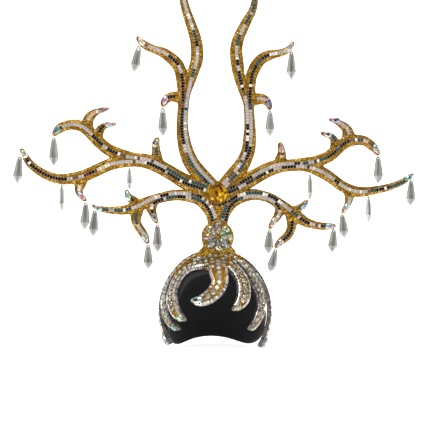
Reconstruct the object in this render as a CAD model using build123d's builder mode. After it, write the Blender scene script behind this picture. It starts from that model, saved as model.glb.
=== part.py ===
from build123d import *
from math import atan2, cos, degrees, hypot, pi, radians, sin
import os

os.makedirs("parts", exist_ok=True)

# Carnival headdress, millimetres, +Z up, the front faces -Y.
# The origin is the inner top of the cap, where it rests on the wearer's head.

# The head inside the cap, as half sizes of an ellipsoid
head_half_breadth = 80
head_half_length = 99
head_half_height = 91

# Cap: a thin liner, and foam tendrils that lie on it
liner_wall = 3
tendril_gap = 0.85
tendril_depth = 7
tendril_width = 22
tendril_top = 0.8
tendril_waist = 0.45
plate_radius = 32
plate_forward = 40
joint_gap = 0.2

# Panel: the flat sheet of branches, in front of the head's axis
panel_thickness = 12
panel_back = 40
edge_bevel = 3
bevel_share = 0.7
hub_height = 100
hub_reach = 56
hub_web_radius = 20
neck_web_width = 20
side_web_width = 96
side_web_height = 8
side_web_rise = 2

# Knob and flower under the neck
knob_radius = 25.6
knob_height = 31
knob_proud = 2
knob_fillet = 3
foot_width = 45
foot_length = 32
foot_height = 14
skirt_width = 59
skirt_length = 20
skirt_height = 3.5
shoulder_drop = 5.5
petal_count = 8
petal_length = 19.5
petal_width = 12.2
petal_height = 4
petal_inner = 4.4

# Stones, tiles and trim
hub_stone_radius = 15
hub_stone_height = 7
pear_length = 13.5
pear_width = 8
pear_height = 3
pear_tip_inset = 3
pear_point_share = 0.07
pear_room_share = 1.08
table_share = 0.55
girdle_share = 0.25
stone_width = 7
stone_height = 2.2
stone_pitch = 8.8
tile_size = 5
tile_height = 1.2
chain_width = 3.4
chain_height = 1.2
chain_inset = 0.4
trim_gap = 0.1
stone_gap = 0.35

# Crystal drops and the rings that carry them
drop_length = 44
drop_width = 15
drop_thickness = 8.4
drop_hole = 2.2
ring_radius = 4.4
ring_wire = 0.9
ring_clearance = 0.3
ring_bite = 1.3
ring_sides = 10
ring_to_hole = 4.65
hole_from_top = 2.4
facet_width_share = 0.45
facet_depth_share = 0.35

panel_front = panel_back + panel_thickness
knob_front = panel_front + knob_proud

# Each arm: its reach outward and rise upward from the hub, and its width there
arm_sizes = {
    "left_tall": (-1, 130, 340, 22),
    "left_upper": (-1, 310, 135, 24),
    "left_lower": (-1, 200, 82, 16),
    "right_tall": (1, 123, 330, 22),
    "right_upper": (1, 316, 118, 24),
    "right_lower": (1, 190, 88, 16),
}

# Each arm owns the part of the hub between two rays, as degrees from +X
arm_sectors = {
    "left_tall": (90, 145.4),
    "left_upper": (145.4, 173.4),
    "left_lower": (173.4, 270),
    "right_tall": (36, 90),
    "right_upper": (8, 36),
    "right_lower": (-90, 8),
}

# How many rows of each stem carry two rows of tiles side by side
twin_rows = {
    "left_tall": 10,
    "left_upper": 9,
    "left_lower": 11,
    "right_tall": 10,
    "right_upper": 9,
    "right_lower": 11,
}

# Centre lines, columns: out (share of reach), up (share of rise), width (share of the arm's width)
arm_lines = {
    "left_tall": {
        "stem": [
            (0.045, 0.025, 0.94), (0.190, 0.080, 1.08), (0.280, 0.120, 1.05), (0.355, 0.170, 0.99),
            (0.400, 0.225, 0.89), (0.425, 0.280, 0.79), (0.430, 0.340, 0.69), (0.420, 0.395, 0.69),
            (0.400, 0.450, 0.65), (0.370, 0.490, 0.65), (0.330, 0.530, 0.68), (0.290, 0.575, 0.72),
            (0.255, 0.620, 0.78), (0.250, 0.670, 0.79), (0.265, 0.715, 0.74), (0.300, 0.760, 0.68),
            (0.345, 0.810, 0.62), (0.385, 0.855, 0.56), (0.415, 0.900, 0.50), (0.430, 0.945, 0.40),
            (0.415, 0.990, 0.22),
        ],
        "fork": [
            (0.405, 0.440, 0.50), (0.425, 0.485, 0.65), (0.435, 0.535, 0.76), (0.450, 0.565, 0.76),
            (0.490, 0.600, 0.76), (0.570, 0.630, 0.72), (0.665, 0.655, 0.62), (0.775, 0.670, 0.50),
            (0.865, 0.685, 0.50), (0.935, 0.705, 0.40), (0.985, 0.730, 0.22),
        ],
        "hook": [
            (0.410, 0.435, 0.65), (0.515, 0.450, 0.65), (0.600, 0.445, 0.54), (0.650, 0.425, 0.47),
            (0.670, 0.400, 0.25),
        ],
    },
    "left_upper": {
        "stem": [
            (0.030, 0.020, 0.86), (0.090, 0.085, 0.99), (0.155, 0.130, 0.99), (0.215, 0.205, 0.91),
            (0.270, 0.280, 0.89), (0.320, 0.340, 0.90), (0.370, 0.380, 0.89), (0.430, 0.390, 0.82),
            (0.495, 0.370, 0.77), (0.545, 0.340, 0.73), (0.620, 0.265, 0.75), (0.680, 0.205, 0.74),
            (0.735, 0.175, 0.70), (0.790, 0.165, 0.62), (0.840, 0.185, 0.56), (0.885, 0.230, 0.53),
            (0.925, 0.290, 0.49), (0.960, 0.370, 0.45), (0.980, 0.450, 0.36), (1.000, 0.525, 0.20),
        ],
        "fork": [
            (0.395, 0.390, 0.66), (0.455, 0.425, 0.73), (0.510, 0.465, 0.73), (0.555, 0.510, 0.73),
            (0.595, 0.580, 0.73), (0.635, 0.670, 0.69), (0.665, 0.740, 0.68), (0.705, 0.790, 0.65),
            (0.745, 0.800, 0.61), (0.785, 0.775, 0.58), (0.815, 0.730, 0.50), (0.835, 0.660, 0.23),
        ],
        "high_twig": [
            (0.650, 0.705, 0.59), (0.660, 0.845, 0.66), (0.640, 0.915, 0.54), (0.610, 0.955, 0.37),
            (0.580, 0.975, 0.26), (0.550, 0.995, 0.17),
        ],
        "mid_twig": [
            (0.610, 0.590, 0.59), (0.605, 0.705, 0.57), (0.585, 0.775, 0.44), (0.555, 0.800, 0.32),
            (0.515, 0.810, 0.17),
        ],
        "near_twig": [
            (0.300, 0.325, 0.66), (0.310, 0.440, 0.59), (0.315, 0.525, 0.49), (0.315, 0.595, 0.44),
            (0.300, 0.660, 0.20),
        ],
        "low_twig": [
            (0.680, 0.205, 0.66), (0.700, 0.095, 0.63), (0.705, 0.030, 0.49), (0.695, -0.030, 0.37),
            (0.665, -0.090, 0.20),
        ],
    },
    "left_lower": {
        "stem": [
            (0.040, -0.705, 0.95), (0.040, -0.510, 0.95), (0.060, -0.320, 1.24), (0.100, -0.175, 1.39),
            (0.155, -0.085, 1.29), (0.220, -0.045, 1.19), (0.290, -0.030, 1.03), (0.355, -0.035, 0.98),
            (0.420, -0.065, 0.93), (0.490, -0.110, 0.94), (0.550, -0.160, 0.99), (0.615, -0.225, 1.03),
            (0.670, -0.280, 0.95), (0.740, -0.320, 0.83), (0.830, -0.325, 0.67), (0.895, -0.310, 0.56),
            (0.950, -0.275, 0.44), (0.995, -0.215, 0.26),
        ],
        "up_twig": [
            (0.605, -0.230, 0.79), (0.660, -0.145, 0.79), (0.700, -0.075, 0.69), (0.715, 0.005, 0.50),
            (0.720, 0.085, 0.30),
        ],
        "near_twig": [
            (0.505, -0.135, 0.94), (0.525, -0.270, 0.97), (0.515, -0.375, 0.75), (0.500, -0.470, 0.59),
            (0.475, -0.585, 0.32),
        ],
        "far_twig": [
            (0.620, -0.210, 0.89), (0.640, -0.375, 1.09), (0.645, -0.530, 0.85), (0.615, -0.680, 0.79),
            (0.575, -0.825, 0.69), (0.550, -0.980, 0.36),
        ],
    },
    "right_tall": {
        "stem": [
            (0.060, 0.025, 0.94), (0.195, 0.080, 1.08), (0.295, 0.125, 1.05), (0.355, 0.165, 0.94),
            (0.400, 0.210, 0.89), (0.415, 0.260, 0.85), (0.420, 0.305, 0.75), (0.415, 0.355, 0.66),
            (0.410, 0.400, 0.65), (0.400, 0.435, 0.66), (0.360, 0.480, 0.66), (0.320, 0.520, 0.68),
            (0.280, 0.565, 0.71), (0.260, 0.615, 0.81), (0.245, 0.660, 0.82), (0.245, 0.705, 0.78),
            (0.275, 0.750, 0.71), (0.325, 0.790, 0.65), (0.385, 0.835, 0.58), (0.445, 0.875, 0.50),
            (0.480, 0.920, 0.42), (0.485, 0.955, 0.32), (0.470, 0.995, 0.22),
        ],
        "fork": [
            (0.400, 0.425, 0.50), (0.415, 0.475, 0.68), (0.425, 0.525, 0.68), (0.440, 0.565, 0.71),
            (0.490, 0.610, 0.75), (0.560, 0.645, 0.69), (0.655, 0.665, 0.66), (0.760, 0.675, 0.50),
            (0.865, 0.685, 0.45), (0.940, 0.705, 0.36), (0.990, 0.735, 0.22),
        ],
        "hook": [
            (0.395, 0.450, 0.65), (0.500, 0.455, 0.74), (0.585, 0.455, 0.65), (0.650, 0.440, 0.50),
            (0.680, 0.400, 0.23),
        ],
    },
    "right_upper": {
        "stem": [
            (0.035, 0.020, 0.86), (0.090, 0.080, 0.99), (0.150, 0.170, 1.02), (0.205, 0.250, 0.95),
            (0.255, 0.320, 0.93), (0.305, 0.365, 0.85), (0.355, 0.380, 0.73), (0.410, 0.390, 0.78),
            (0.465, 0.370, 0.75), (0.515, 0.310, 0.73), (0.570, 0.225, 0.69), (0.615, 0.135, 0.67),
            (0.660, 0.065, 0.69), (0.705, 0.030, 0.65), (0.755, 0.030, 0.57), (0.805, 0.050, 0.49),
            (0.865, 0.085, 0.44), (0.915, 0.130, 0.39), (0.955, 0.185, 0.37), (0.980, 0.235, 0.29),
            (1.000, 0.275, 0.19),
        ],
        "fork": [
            (0.375, 0.385, 0.59), (0.430, 0.410, 0.69), (0.475, 0.425, 0.69), (0.520, 0.455, 0.70),
            (0.565, 0.505, 0.73), (0.600, 0.580, 0.73), (0.630, 0.655, 0.73), (0.670, 0.715, 0.73),
            (0.710, 0.730, 0.65), (0.750, 0.715, 0.59), (0.780, 0.660, 0.57), (0.805, 0.595, 0.44),
            (0.820, 0.515, 0.20),
        ],
        "high_twig": [
            (0.665, 0.660, 0.66), (0.665, 0.795, 0.79), (0.655, 0.880, 0.59), (0.625, 0.945, 0.44),
            (0.595, 0.990, 0.30), (0.560, 1.005, 0.17),
        ],
        "mid_twig": [
            (0.595, 0.575, 0.59), (0.595, 0.695, 0.54), (0.585, 0.760, 0.41), (0.555, 0.800, 0.33),
            (0.520, 0.825, 0.20),
        ],
        "near_twig": [
            (0.315, 0.345, 0.73), (0.320, 0.480, 0.66), (0.325, 0.560, 0.48), (0.320, 0.630, 0.40),
            (0.315, 0.705, 0.20),
        ],
        "low_twig": [
            (0.675, 0.075, 0.66), (0.670, -0.035, 0.59), (0.665, -0.110, 0.44), (0.655, -0.175, 0.36),
            (0.630, -0.265, 0.20),
        ],
    },
    "right_lower": {
        "stem": [
            (0.045, -0.655, 0.95), (0.045, -0.475, 0.95), (0.065, -0.315, 1.19), (0.105, -0.170, 1.34),
            (0.170, -0.075, 1.29), (0.240, -0.030, 1.15), (0.315, -0.015, 1.02), (0.380, -0.040, 0.93),
            (0.445, -0.085, 0.95), (0.505, -0.165, 1.01), (0.560, -0.245, 1.05), (0.620, -0.335, 1.05),
            (0.680, -0.425, 1.05), (0.735, -0.505, 0.91), (0.805, -0.560, 0.77), (0.880, -0.590, 0.69),
            (0.950, -0.590, 0.59), (1.000, -0.580, 0.32),
        ],
        "up_twig": [
            (0.610, -0.325, 0.79), (0.670, -0.275, 0.69), (0.710, -0.230, 0.59), (0.740, -0.170, 0.50),
            (0.760, -0.100, 0.30),
        ],
        "near_twig": [
            (0.540, -0.205, 0.94), (0.520, -0.325, 0.87), (0.500, -0.425, 0.71), (0.465, -0.520, 0.56),
            (0.435, -0.650, 0.32),
        ],
        "far_twig": [
            (0.610, -0.335, 0.99), (0.625, -0.490, 0.95), (0.620, -0.625, 0.85), (0.590, -0.760, 0.79),
            (0.535, -0.860, 0.69), (0.480, -0.985, 0.34),
        ],
    },
}

# Tendrils, columns: turn (degrees round from the front), down (degrees from the top of the dome),
# width (share of the tendril width)
tendril_lines = {
    "front_curl": [
        (0, 24, 1.30), (-1, 33, 1.30), (-1, 41, 1.27), (-1, 48, 1.26), (0, 55, 1.12), (-2, 62, 1.04),
        (-7, 68, 0.96), (-14, 73, 0.80), (-22, 76, 0.58), (-31, 76, 0.25),
    ],
    "left_brow_tendril": [
        (-14, 30, 0.70), (-26, 36, 0.78), (-40, 38, 0.80), (-51, 42, 0.80), (-58, 49, 0.86),
        (-61, 57, 0.92), (-61, 65, 0.92), (-60, 72, 0.92), (-57, 78, 0.90), (-52, 85, 0.80),
        (-46, 90, 0.60), (-38, 94, 0.22),
    ],
    "left_temple_tendril": [
        (-35, 20, 0.80), (-52, 24, 0.80), (-65, 32, 0.80), (-70, 42, 0.80), (-75, 51, 0.84),
        (-78, 60, 0.90), (-78, 69, 0.90), (-75, 78, 0.90), (-70, 86, 0.85), (-64, 93, 0.75),
        (-56, 99, 0.50), (-47, 103, 0.22),
    ],
    "left_ear_tendril": [
        (-55, 12, 0.80), (-95, 22, 0.85), (-104, 34, 0.90), (-106, 46, 0.90), (-106, 58, 0.90),
        (-103, 70, 0.90), (-97, 82, 0.90), (-90, 93, 0.85), (-84, 103, 0.75), (-80, 112, 0.60),
        (-74, 120, 0.25),
    ],
    "right_brow_tendril": [
        (16, 27, 0.80), (19, 34, 0.85), (23, 41, 0.90), (27, 48, 0.90), (29, 55, 0.95), (29, 62, 0.95),
        (27, 69, 0.95), (24, 75, 0.85), (19, 80, 0.60), (12, 84, 0.25),
    ],
    "right_temple_tendril": [
        (36, 20, 0.90), (45, 28, 0.90), (48, 38, 0.90), (50, 48, 0.90), (51, 58, 0.90), (53, 66, 0.90),
        (53, 75, 0.90), (50, 84, 0.85), (45, 91, 0.70), (39, 98, 0.50), (32, 103, 0.22),
    ],
    "right_ear_tendril": [
        (75, 15, 0.80), (88, 25, 0.85), (92, 37, 0.90), (92, 50, 0.90), (90, 62, 0.90), (86, 74, 0.90),
        (81, 86, 0.90), (77, 96, 0.85), (74, 106, 0.75), (71, 115, 0.60), (66, 123, 0.25),
    ],
}

tendril_groups = {
    "front": ("front_curl", "left_brow_tendril", "right_brow_tendril"),
    "left": ("left_temple_tendril", "left_ear_tendril"),
    "right": ("right_temple_tendril", "right_ear_tendril"),
}

# The liner's edge from the brow to the nape, columns: forward, below (shares of the head's half sizes)
liner_edge = [
    (0.78, 0.22), (0.66, 0.30), (0.59, 0.82), (0.41, 1.15), (0.0, 1.48), (-0.40, 1.62), (-0.95, 1.50),
]

# Drops, columns: arm, line, out (share of reach), edge on, lean (degrees), length (share of drop length)
drop_rows = {
    "left": [
        ("left_tall", "fork", 0.960, False, 11, 0.95),
        ("left_tall", "hook", 0.668, False, 0, 1.00),
        ("left_upper", "fork", 0.832, False, 0, 1.00),
        ("left_upper", "stem", 1.003, False, 6, 0.96),
        ("left_upper", "stem", 0.792, True, 0, 0.96),
        ("left_upper", "low_twig", 0.670, False, 4, 0.97),
        ("left_lower", "stem", 0.970, False, 4, 0.92),
        ("left_upper", "stem", 0.450, True, 0, 0.78),
        ("left_lower", "near_twig", 0.477, False, 0, 0.98),
        ("left_lower", "far_twig", 0.550, False, 0, 0.86),
    ],
    "right": [
        ("right_tall", "fork", 0.960, False, 0, 1.00),
        ("right_tall", "hook", 0.680, False, 0, 0.90),
        ("right_upper", "fork", 0.818, False, 0, 0.96),
        ("right_upper", "stem", 0.988, False, 2, 0.92),
        ("right_upper", "stem", 0.768, True, 0, 0.94),
        ("right_upper", "low_twig", 0.633, False, -6, 0.86),
        ("right_lower", "stem", 0.982, False, 5, 0.84),
        ("right_upper", "stem", 0.468, True, 0, 0.92),
        ("right_lower", "near_twig", 0.436, False, 3, 0.84),
        ("right_lower", "far_twig", 0.487, False, 14, 0.84),
    ],
}

# A drop's sections, columns: down, half width, half thickness (shares of its length, width, thickness)
drop_sections = [
    (0.00, 0.15, 0.11),
    (0.08, 0.23, 0.16),
    (0.18, 0.30, 0.34),
    (0.34, 0.37, 0.43),
    (0.72, 0.50, 0.50),
    (0.88, 0.29, 0.34),
    (1.00, 0.04, 0.05),
]


def centre_line(arm, line):
    """One line of an arm as (x, z, half width), with the hub as its zero."""
    side, reach, rise, width = arm_sizes[arm]
    return [
        (side * out * reach, up * rise, share * width / 2)
        for out, up, share in arm_lines[arm][line]
    ]


def ribbon(line, spread=1.0, half_width=None):
    """The outline of a centre line's band, of its own width or of a fixed one."""
    left = []
    right = []
    last = len(line) - 1
    for index, (x, z, half) in enumerate(line):
        x_before, z_before, _ = line[max(index - 1, 0)]
        x_after, z_after, _ = line[min(index + 1, last)]
        length = hypot(x_after - x_before, z_after - z_before)
        across = ((z_before - z_after) / length, (x_after - x_before) / length)
        reach = half * spread if half_width is None else half_width
        left.append((x + across[0] * reach, z + across[1] * reach + hub_height))
        right.append((x - across[0] * reach, z - across[1] * reach + hub_height))
    return left + right[::-1]


def lowest_crossing(outline, places):
    """The lowest height at which an outline crosses any of some vertical lines."""
    heights = []
    for (x0, z0), (x1, z1) in zip(outline, outline[1:] + outline[:1]):
        for x in places:
            if (x0 - x) * (x1 - x) < 0:
                heights.append(z0 + (z1 - z0) * (x - x0) / (x1 - x0))
    return min(heights)


def ring_centre(arm, line, out):
    """The centre of the ring that pierces a line's lower edge."""
    side, reach, rise, width = arm_sizes[arm]
    x = side * out * reach
    head = drop_width * drop_sections[1][1]
    z = lowest_crossing(ribbon(centre_line(arm, line)), (x - head, x, x + head)) + ring_bite
    return Vector(x, -panel_back - panel_thickness / 2, z)


def ring_plane(centre, edge_on):
    """The plane of a ring: across the panel, or along it for a drop that hangs edge on."""
    if edge_on:
        return Plane(centre, x_dir=(1, 0, 0), z_dir=(0, -1, 0))
    return Plane(centre, x_dir=(0, 1, 0), z_dir=(1, 0, 0))


def sector_waste(arm, forward=panel_back, depth=panel_thickness, gap=0):
    """What the arm leaves to its neighbours in the hub and to the knob, from one depth forward."""
    start, end = arm_sectors[arm]
    hub = (0, hub_height)
    with BuildPart() as waste:
        with BuildSketch(Plane.XZ.offset(forward)):
            with BuildLine():
                arc = CenterArc(hub, hub_reach, end, 360 - (end - start))
                Line(hub, arc @ 0)
                Line(arc @ 1, hub)
            make_face()
            if gap:
                offset(amount=gap)
            with Locations((0, knob_height)):
                Circle(knob_radius + joint_gap)
        extrude(amount=depth)
    return waste.part


def make_bevel(line):
    """The front of one line, which narrows toward the panel's face."""
    with BuildPart() as bevel:
        with BuildSketch(Plane.XZ.offset(panel_front - edge_bevel)):
            Polygon(*ribbon(line), align=None)
        with BuildSketch(Plane.XZ.offset(panel_front)):
            Polygon(*ribbon(line, bevel_share), align=None)
        loft(ruled=True)
    return bevel.part


def make_web():
    """The foam that fills the hub: behind its stone, beside it and down the neck."""
    with BuildPart() as web:
        with BuildSketch(Plane.XZ.offset(panel_back)):
            with Locations((0, hub_height)):
                Circle(hub_web_radius)
            with Locations((0, hub_height + side_web_rise)):
                Rectangle(side_web_width, side_web_height)
            with Locations((0, knob_height)):
                Rectangle(neck_web_width, hub_height - knob_height, align=(Align.CENTER, Align.MIN))
        extrude(amount=panel_thickness)
    return web.part


def make_branch(arm):
    """One arm of the panel: its lines in one, with a bevelled front and slots for its rings."""
    slot = ring_wire + 2 * ring_clearance
    with BuildPart() as branch:
        with BuildSketch(Plane.XZ.offset(panel_back)):
            for line in arm_lines[arm]:
                Polygon(*ribbon(centre_line(arm, line)), align=None)
        extrude(amount=panel_thickness - edge_bevel)
        add([make_bevel(centre_line(arm, line)) for line in arm_lines[arm]])
        add(make_web())
        add(sector_waste(arm), mode=Mode.SUBTRACT)
        for row in drop_rows[arm.split("_")[0]]:
            if row[0] == arm:
                with BuildSketch(ring_plane(ring_centre(*row[:3]), row[3]).offset(-slot / 2)):
                    RegularPolygon(ring_radius + slot / 2, ring_sides)
                    RegularPolygon(ring_radius - slot / 2, ring_sides, mode=Mode.SUBTRACT)
                extrude(amount=slot, mode=Mode.SUBTRACT)
    return branch.part


def pear_outline(length, width):
    """A pear, its point at the zero and its round end along +Y."""
    radius = width / 2
    centre = length - radius
    round_end = [
        (radius * cos(radians(turn)), centre + radius * sin(radians(turn)))
        for turn in (-15, 20, 55, 90, 125, 160, 195)
    ]
    return [(width * pear_point_share, 0), *round_end, (-width * pear_point_share, 0)]


def shrink(outline, share):
    """An outline made smaller about its middle."""
    middle_x = sum(x for x, _ in outline) / len(outline)
    middle_y = sum(y for _, y in outline) / len(outline)
    return [(middle_x + (x - middle_x) * share, middle_y + (y - middle_y) * share) for x, y in outline]


def cut_stone(outline, height):
    """A flat-backed stone: a thin girdle, a facet above each edge of its outline, and a table."""
    girdle = height * girdle_share
    with BuildPart() as stone:
        with BuildSketch():
            Polygon(*outline, align=None)
        extrude(amount=girdle)
        with BuildSketch(Plane.XY.offset(girdle)):
            Polygon(*outline, align=None)
        with BuildSketch(Plane.XY.offset(height)):
            Polygon(*shrink(outline, table_share), align=None)
        loft(ruled=True)
    return stone.part


def round_outline(radius, sides):
    """A regular outline with its first corner half a side off the X axis."""
    return [
        (radius * cos(2 * pi * (side + 0.5) / sides), radius * sin(2 * pi * (side + 0.5) / sides))
        for side in range(sides)
    ]


def front_plane(x, z, forward, turn):
    """A plane that faces the front, its Y axis turned from +Z toward +X."""
    return Plane(
        (x, -forward, z),
        x_dir=(cos(radians(turn)), 0, -sin(radians(turn))),
        z_dir=(0, -1, 0),
    )


def arms_of(side_name):
    """The arms on one side."""
    return [arm for arm in arm_lines if arm.startswith(side_name)]


def tip_place(arm, line):
    """Where the pear stone at a line's end has its point, and its turn from +Z toward +X."""
    (x0, z0, _), (x1, z1, _) = centre_line(arm, line)[-2:]
    inset = pear_tip_inset / hypot(x1 - x0, z1 - z0)
    return (
        x1 - (x1 - x0) * inset,
        z1 - (z1 - z0) * inset + hub_height,
        degrees(atan2(x0 - x1, z0 - z1)),
    )


def make_tip_stones(side_name):
    """A pear stone near the end of every line of the arms on one side."""
    pear = cut_stone(pear_outline(pear_length, pear_width), pear_height)
    stones = []
    for arm in arms_of(side_name):
        for line in arm_lines[arm]:
            x, z, turn = tip_place(arm, line)
            stones.append(front_plane(x, z, panel_front, turn) * pear)
    return Compound([stone.solid() for stone in stones])


def make_tile_strips(side_name):
    """Plain bands where the mirror tiles lie: two rows wide on a stem's first part, then one."""
    pear_room = shrink(pear_outline(pear_length, pear_width), pear_room_share)
    with BuildPart() as strips:
        for arm in arms_of(side_name):
            with BuildSketch(Plane.XZ.offset(panel_front)):
                for line in arm_lines[arm]:
                    rows = centre_line(arm, line)
                    Polygon(*ribbon(rows[:-1], half_width=tile_size / 2), align=None)
                    if line == "stem":
                        Polygon(*ribbon(rows[1:twin_rows[arm]], half_width=tile_size), align=None)
                for line in arm_lines[arm]:
                    x, z, turn = tip_place(arm, line)
                    with Locations((x, z)):
                        Polygon(*pear_room, rotation=-turn, align=None, mode=Mode.SUBTRACT)
                        Rectangle(
                            pear_width,
                            pear_length / 2,
                            rotation=-turn,
                            align=(Align.CENTER, Align.MIN),
                            mode=Mode.SUBTRACT,
                        )
                with Locations((0, hub_height)):
                    Circle(hub_stone_radius + joint_gap, mode=Mode.SUBTRACT)
            extrude(amount=tile_height)
            add(sector_waste(arm, panel_front, tile_height, trim_gap), mode=Mode.SUBTRACT)
    return strips.part


def dome_plane(turn, down, lift):
    """The point of the dome at two angles, and the way out from it."""
    half = (head_half_breadth + lift, head_half_length + lift, head_half_height + lift)
    away = (
        sin(radians(down)) * sin(radians(turn)),
        -sin(radians(down)) * cos(radians(turn)),
        cos(radians(down)),
    )
    point = Vector(half[0] * away[0], half[1] * away[1], half[2] * away[2] - head_half_height)
    outward = Vector(away[0] / half[0], away[1] / half[1], away[2] / half[2]).normalized()
    return point, outward


def tendril_frames(name):
    """A plane across the tendril at each of its rows, X across it and Y outward, with its width."""
    lift = liner_wall + tendril_gap
    spots = [dome_plane(turn, down, lift) for turn, down, _ in tendril_lines[name]]
    frames = []
    last = len(spots) - 1
    for index, (point, outward) in enumerate(spots):
        along = (spots[min(index + 1, last)][0] - spots[max(index - 1, 0)][0]).normalized()
        across = outward.cross(along).normalized()
        width = tendril_lines[name][index][2] * tendril_width
        frames.append((Plane(point, x_dir=across, z_dir=across.cross(outward)), width))
    return frames


def loft_along(frames, section):
    """A ruled loft through the frames; the section gives each outline from its width."""
    with BuildPart() as body:
        for plane, width in frames:
            with BuildSketch(plane):
                Polygon(*section(width), align=None)
        loft(ruled=True)
    return body.part


def tendril_section(width):
    """A tendril's section: flat below, full in the middle and narrower on top."""
    half = width / 2
    top = half * tendril_top
    waist = tendril_depth * tendril_waist
    return [(-half, 0), (half, 0), (half, waist), (top, tendril_depth), (-top, tendril_depth), (-half, waist)]


def chain_section(side):
    """The section of the band of small stones along one edge of a tendril's top."""
    def section(width):
        outer = side * (width / 2 * tendril_top - chain_inset)
        inner = outer - side * min(chain_width, abs(outer) / 2)
        low = tendril_depth + trim_gap
        high = low + chain_height
        return [(outer, low), (inner, low), (inner, high), (outer, high)]
    return section


def clear_of_foot(spot):
    """Whether a round stone at a place stands clear of the knob's foot."""
    room = stone_width / 2 + stone_gap
    front = knob_front - knob_fillet
    beside = abs(spot.X) > skirt_width / 2 + room
    before = spot.Y < -front - room
    behind = spot.Y > foot_length - front + room
    return beside or before or behind


def make_stone_rows(names):
    """Round stones in a row along the middle of each tendril's top, and a pear at its end."""
    stone = cut_stone(round_outline(stone_width / 2, 8), stone_height)
    pear = cut_stone(pear_outline(pear_length, pear_width), pear_height)
    stones = []
    spots = []
    for name in names:
        frames = tendril_frames(name)
        place = 0
        for (start, start_width), (end, end_width) in zip(frames, frames[1:]):
            step = end.origin - start.origin
            while place < step.length:
                share = place / step.length
                outward = (start.y_dir + (end.y_dir - start.y_dir) * share).normalized()
                spot = start.origin + step * share + outward * (tendril_depth + stone_gap)
                width = start_width + (end_width - start_width) * share
                room = width * tendril_top - 2 * (chain_inset + chain_width + trim_gap)
                on_plate = hypot(spot.X, spot.Y + plate_forward) < plate_radius
                crowded = any((spot - other).length < stone_width + stone_gap for other in spots)
                if (on_plate or room > stone_width) and clear_of_foot(spot) and not crowded:
                    stones.append(Plane(spot, x_dir=step, z_dir=outward) * stone)
                    spots.append(spot)
                place += stone_pitch
            place -= step.length
        tip = frames[-1][0]
        inward = frames[-2][0].origin - tip.origin
        spot = tip.origin + tip.y_dir * (tendril_depth + stone_gap)
        stones.append(Plane(spot, x_dir=inward.cross(tip.y_dir), z_dir=tip.y_dir) * pear)
    return Compound([stone.solid() for stone in stones])


def make_drop(length_share):
    """A crystal drop: an eight-sided icicle, broad low down, drilled through its head."""
    length = drop_length * length_share
    with BuildPart() as drop:
        for down, half_width, half_thickness in drop_sections:
            width = half_width * drop_width
            thickness = half_thickness * drop_thickness
            narrow = width * facet_width_share
            shallow = thickness * facet_depth_share
            with BuildSketch(Plane.XY.offset(hole_from_top - down * length)):
                Polygon(
                    (width, shallow), (narrow, thickness), (-narrow, thickness), (-width, shallow),
                    (-width, -shallow), (-narrow, -thickness), (narrow, -thickness), (width, -shallow),
                    align=None,
                )
        loft(ruled=True)
        with BuildSketch(Plane.XZ.offset(-drop_thickness)):
            RegularPolygon(drop_hole / 2, 8)
        extrude(amount=2 * drop_thickness, mode=Mode.SUBTRACT)
    return drop.part


def make_ring():
    """A wire ring of flat-sided wire, its axis along Z."""
    half = ring_wire / 2
    with BuildPart() as ring:
        for height in (-half, 0):
            narrow = ring_wire / 4
            low, high = (narrow, half) if height < 0 else (half, narrow)
            with BuildSketch(Plane.XY.offset(height)):
                RegularPolygon(ring_radius + low, ring_sides)
                RegularPolygon(ring_radius - low, ring_sides, mode=Mode.SUBTRACT)
            with BuildSketch(Plane.XY.offset(height + half)):
                RegularPolygon(ring_radius + high, ring_sides)
                RegularPolygon(ring_radius - high, ring_sides, mode=Mode.SUBTRACT)
            loft(ruled=True)
    return ring.part


def finish(part, name):
    """Names a piece and writes its file."""
    part.label = name
    export_step(part, "parts/" + name + ".step")


for arm in arm_lines:
    finish(make_branch(arm), arm + "_branch")

for side_name in ("left", "right"):
    finish(make_tip_stones(side_name), "tip_stones_" + side_name)
    finish(make_tile_strips(side_name), "tile_strips_" + side_name)

    ring = make_ring()
    rings = []
    for number, (arm, line, out, edge_on, lean, length_share) in enumerate(drop_rows[side_name], 1):
        centre = ring_centre(arm, line, out)
        rings.append(ring_plane(centre, edge_on) * ring)
        place = Location(centre - Vector(0, 0, ring_to_hole)) * Rotation(0, lean, 90 if edge_on else 0)
        finish(place * make_drop(length_share), f"{side_name}_drop_{number:02d}")
    finish(Compound([ring.solid() for ring in rings]), "jump_rings_" + side_name)

# Hub stone: round, on the front of the hub
hub_stone = front_plane(0, hub_height, panel_front, 0) * cut_stone(
    round_outline(hub_stone_radius, 16), hub_stone_height
)
finish(hub_stone, "hub_stone")

# Flower: pear stones in a ring on the knob
petal = cut_stone(pear_outline(petal_length, petal_width), petal_height)
for number in range(petal_count):
    turn = 360 * number / petal_count
    place = front_plane(
        petal_inner * sin(radians(turn)), knob_height + petal_inner * cos(radians(turn)), knob_front, turn
    )
    finish(place * petal, f"petal_stone_{number + 1}")


def dome(lift):
    """A solid dome, larger than the head by a lift all round."""
    half = (head_half_breadth + lift, head_half_length + lift, head_half_height + lift)
    ball = scale(Sphere(1, mode=Mode.PRIVATE), by=half, mode=Mode.PRIVATE)
    return Pos(0, 0, -head_half_height) * ball


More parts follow.
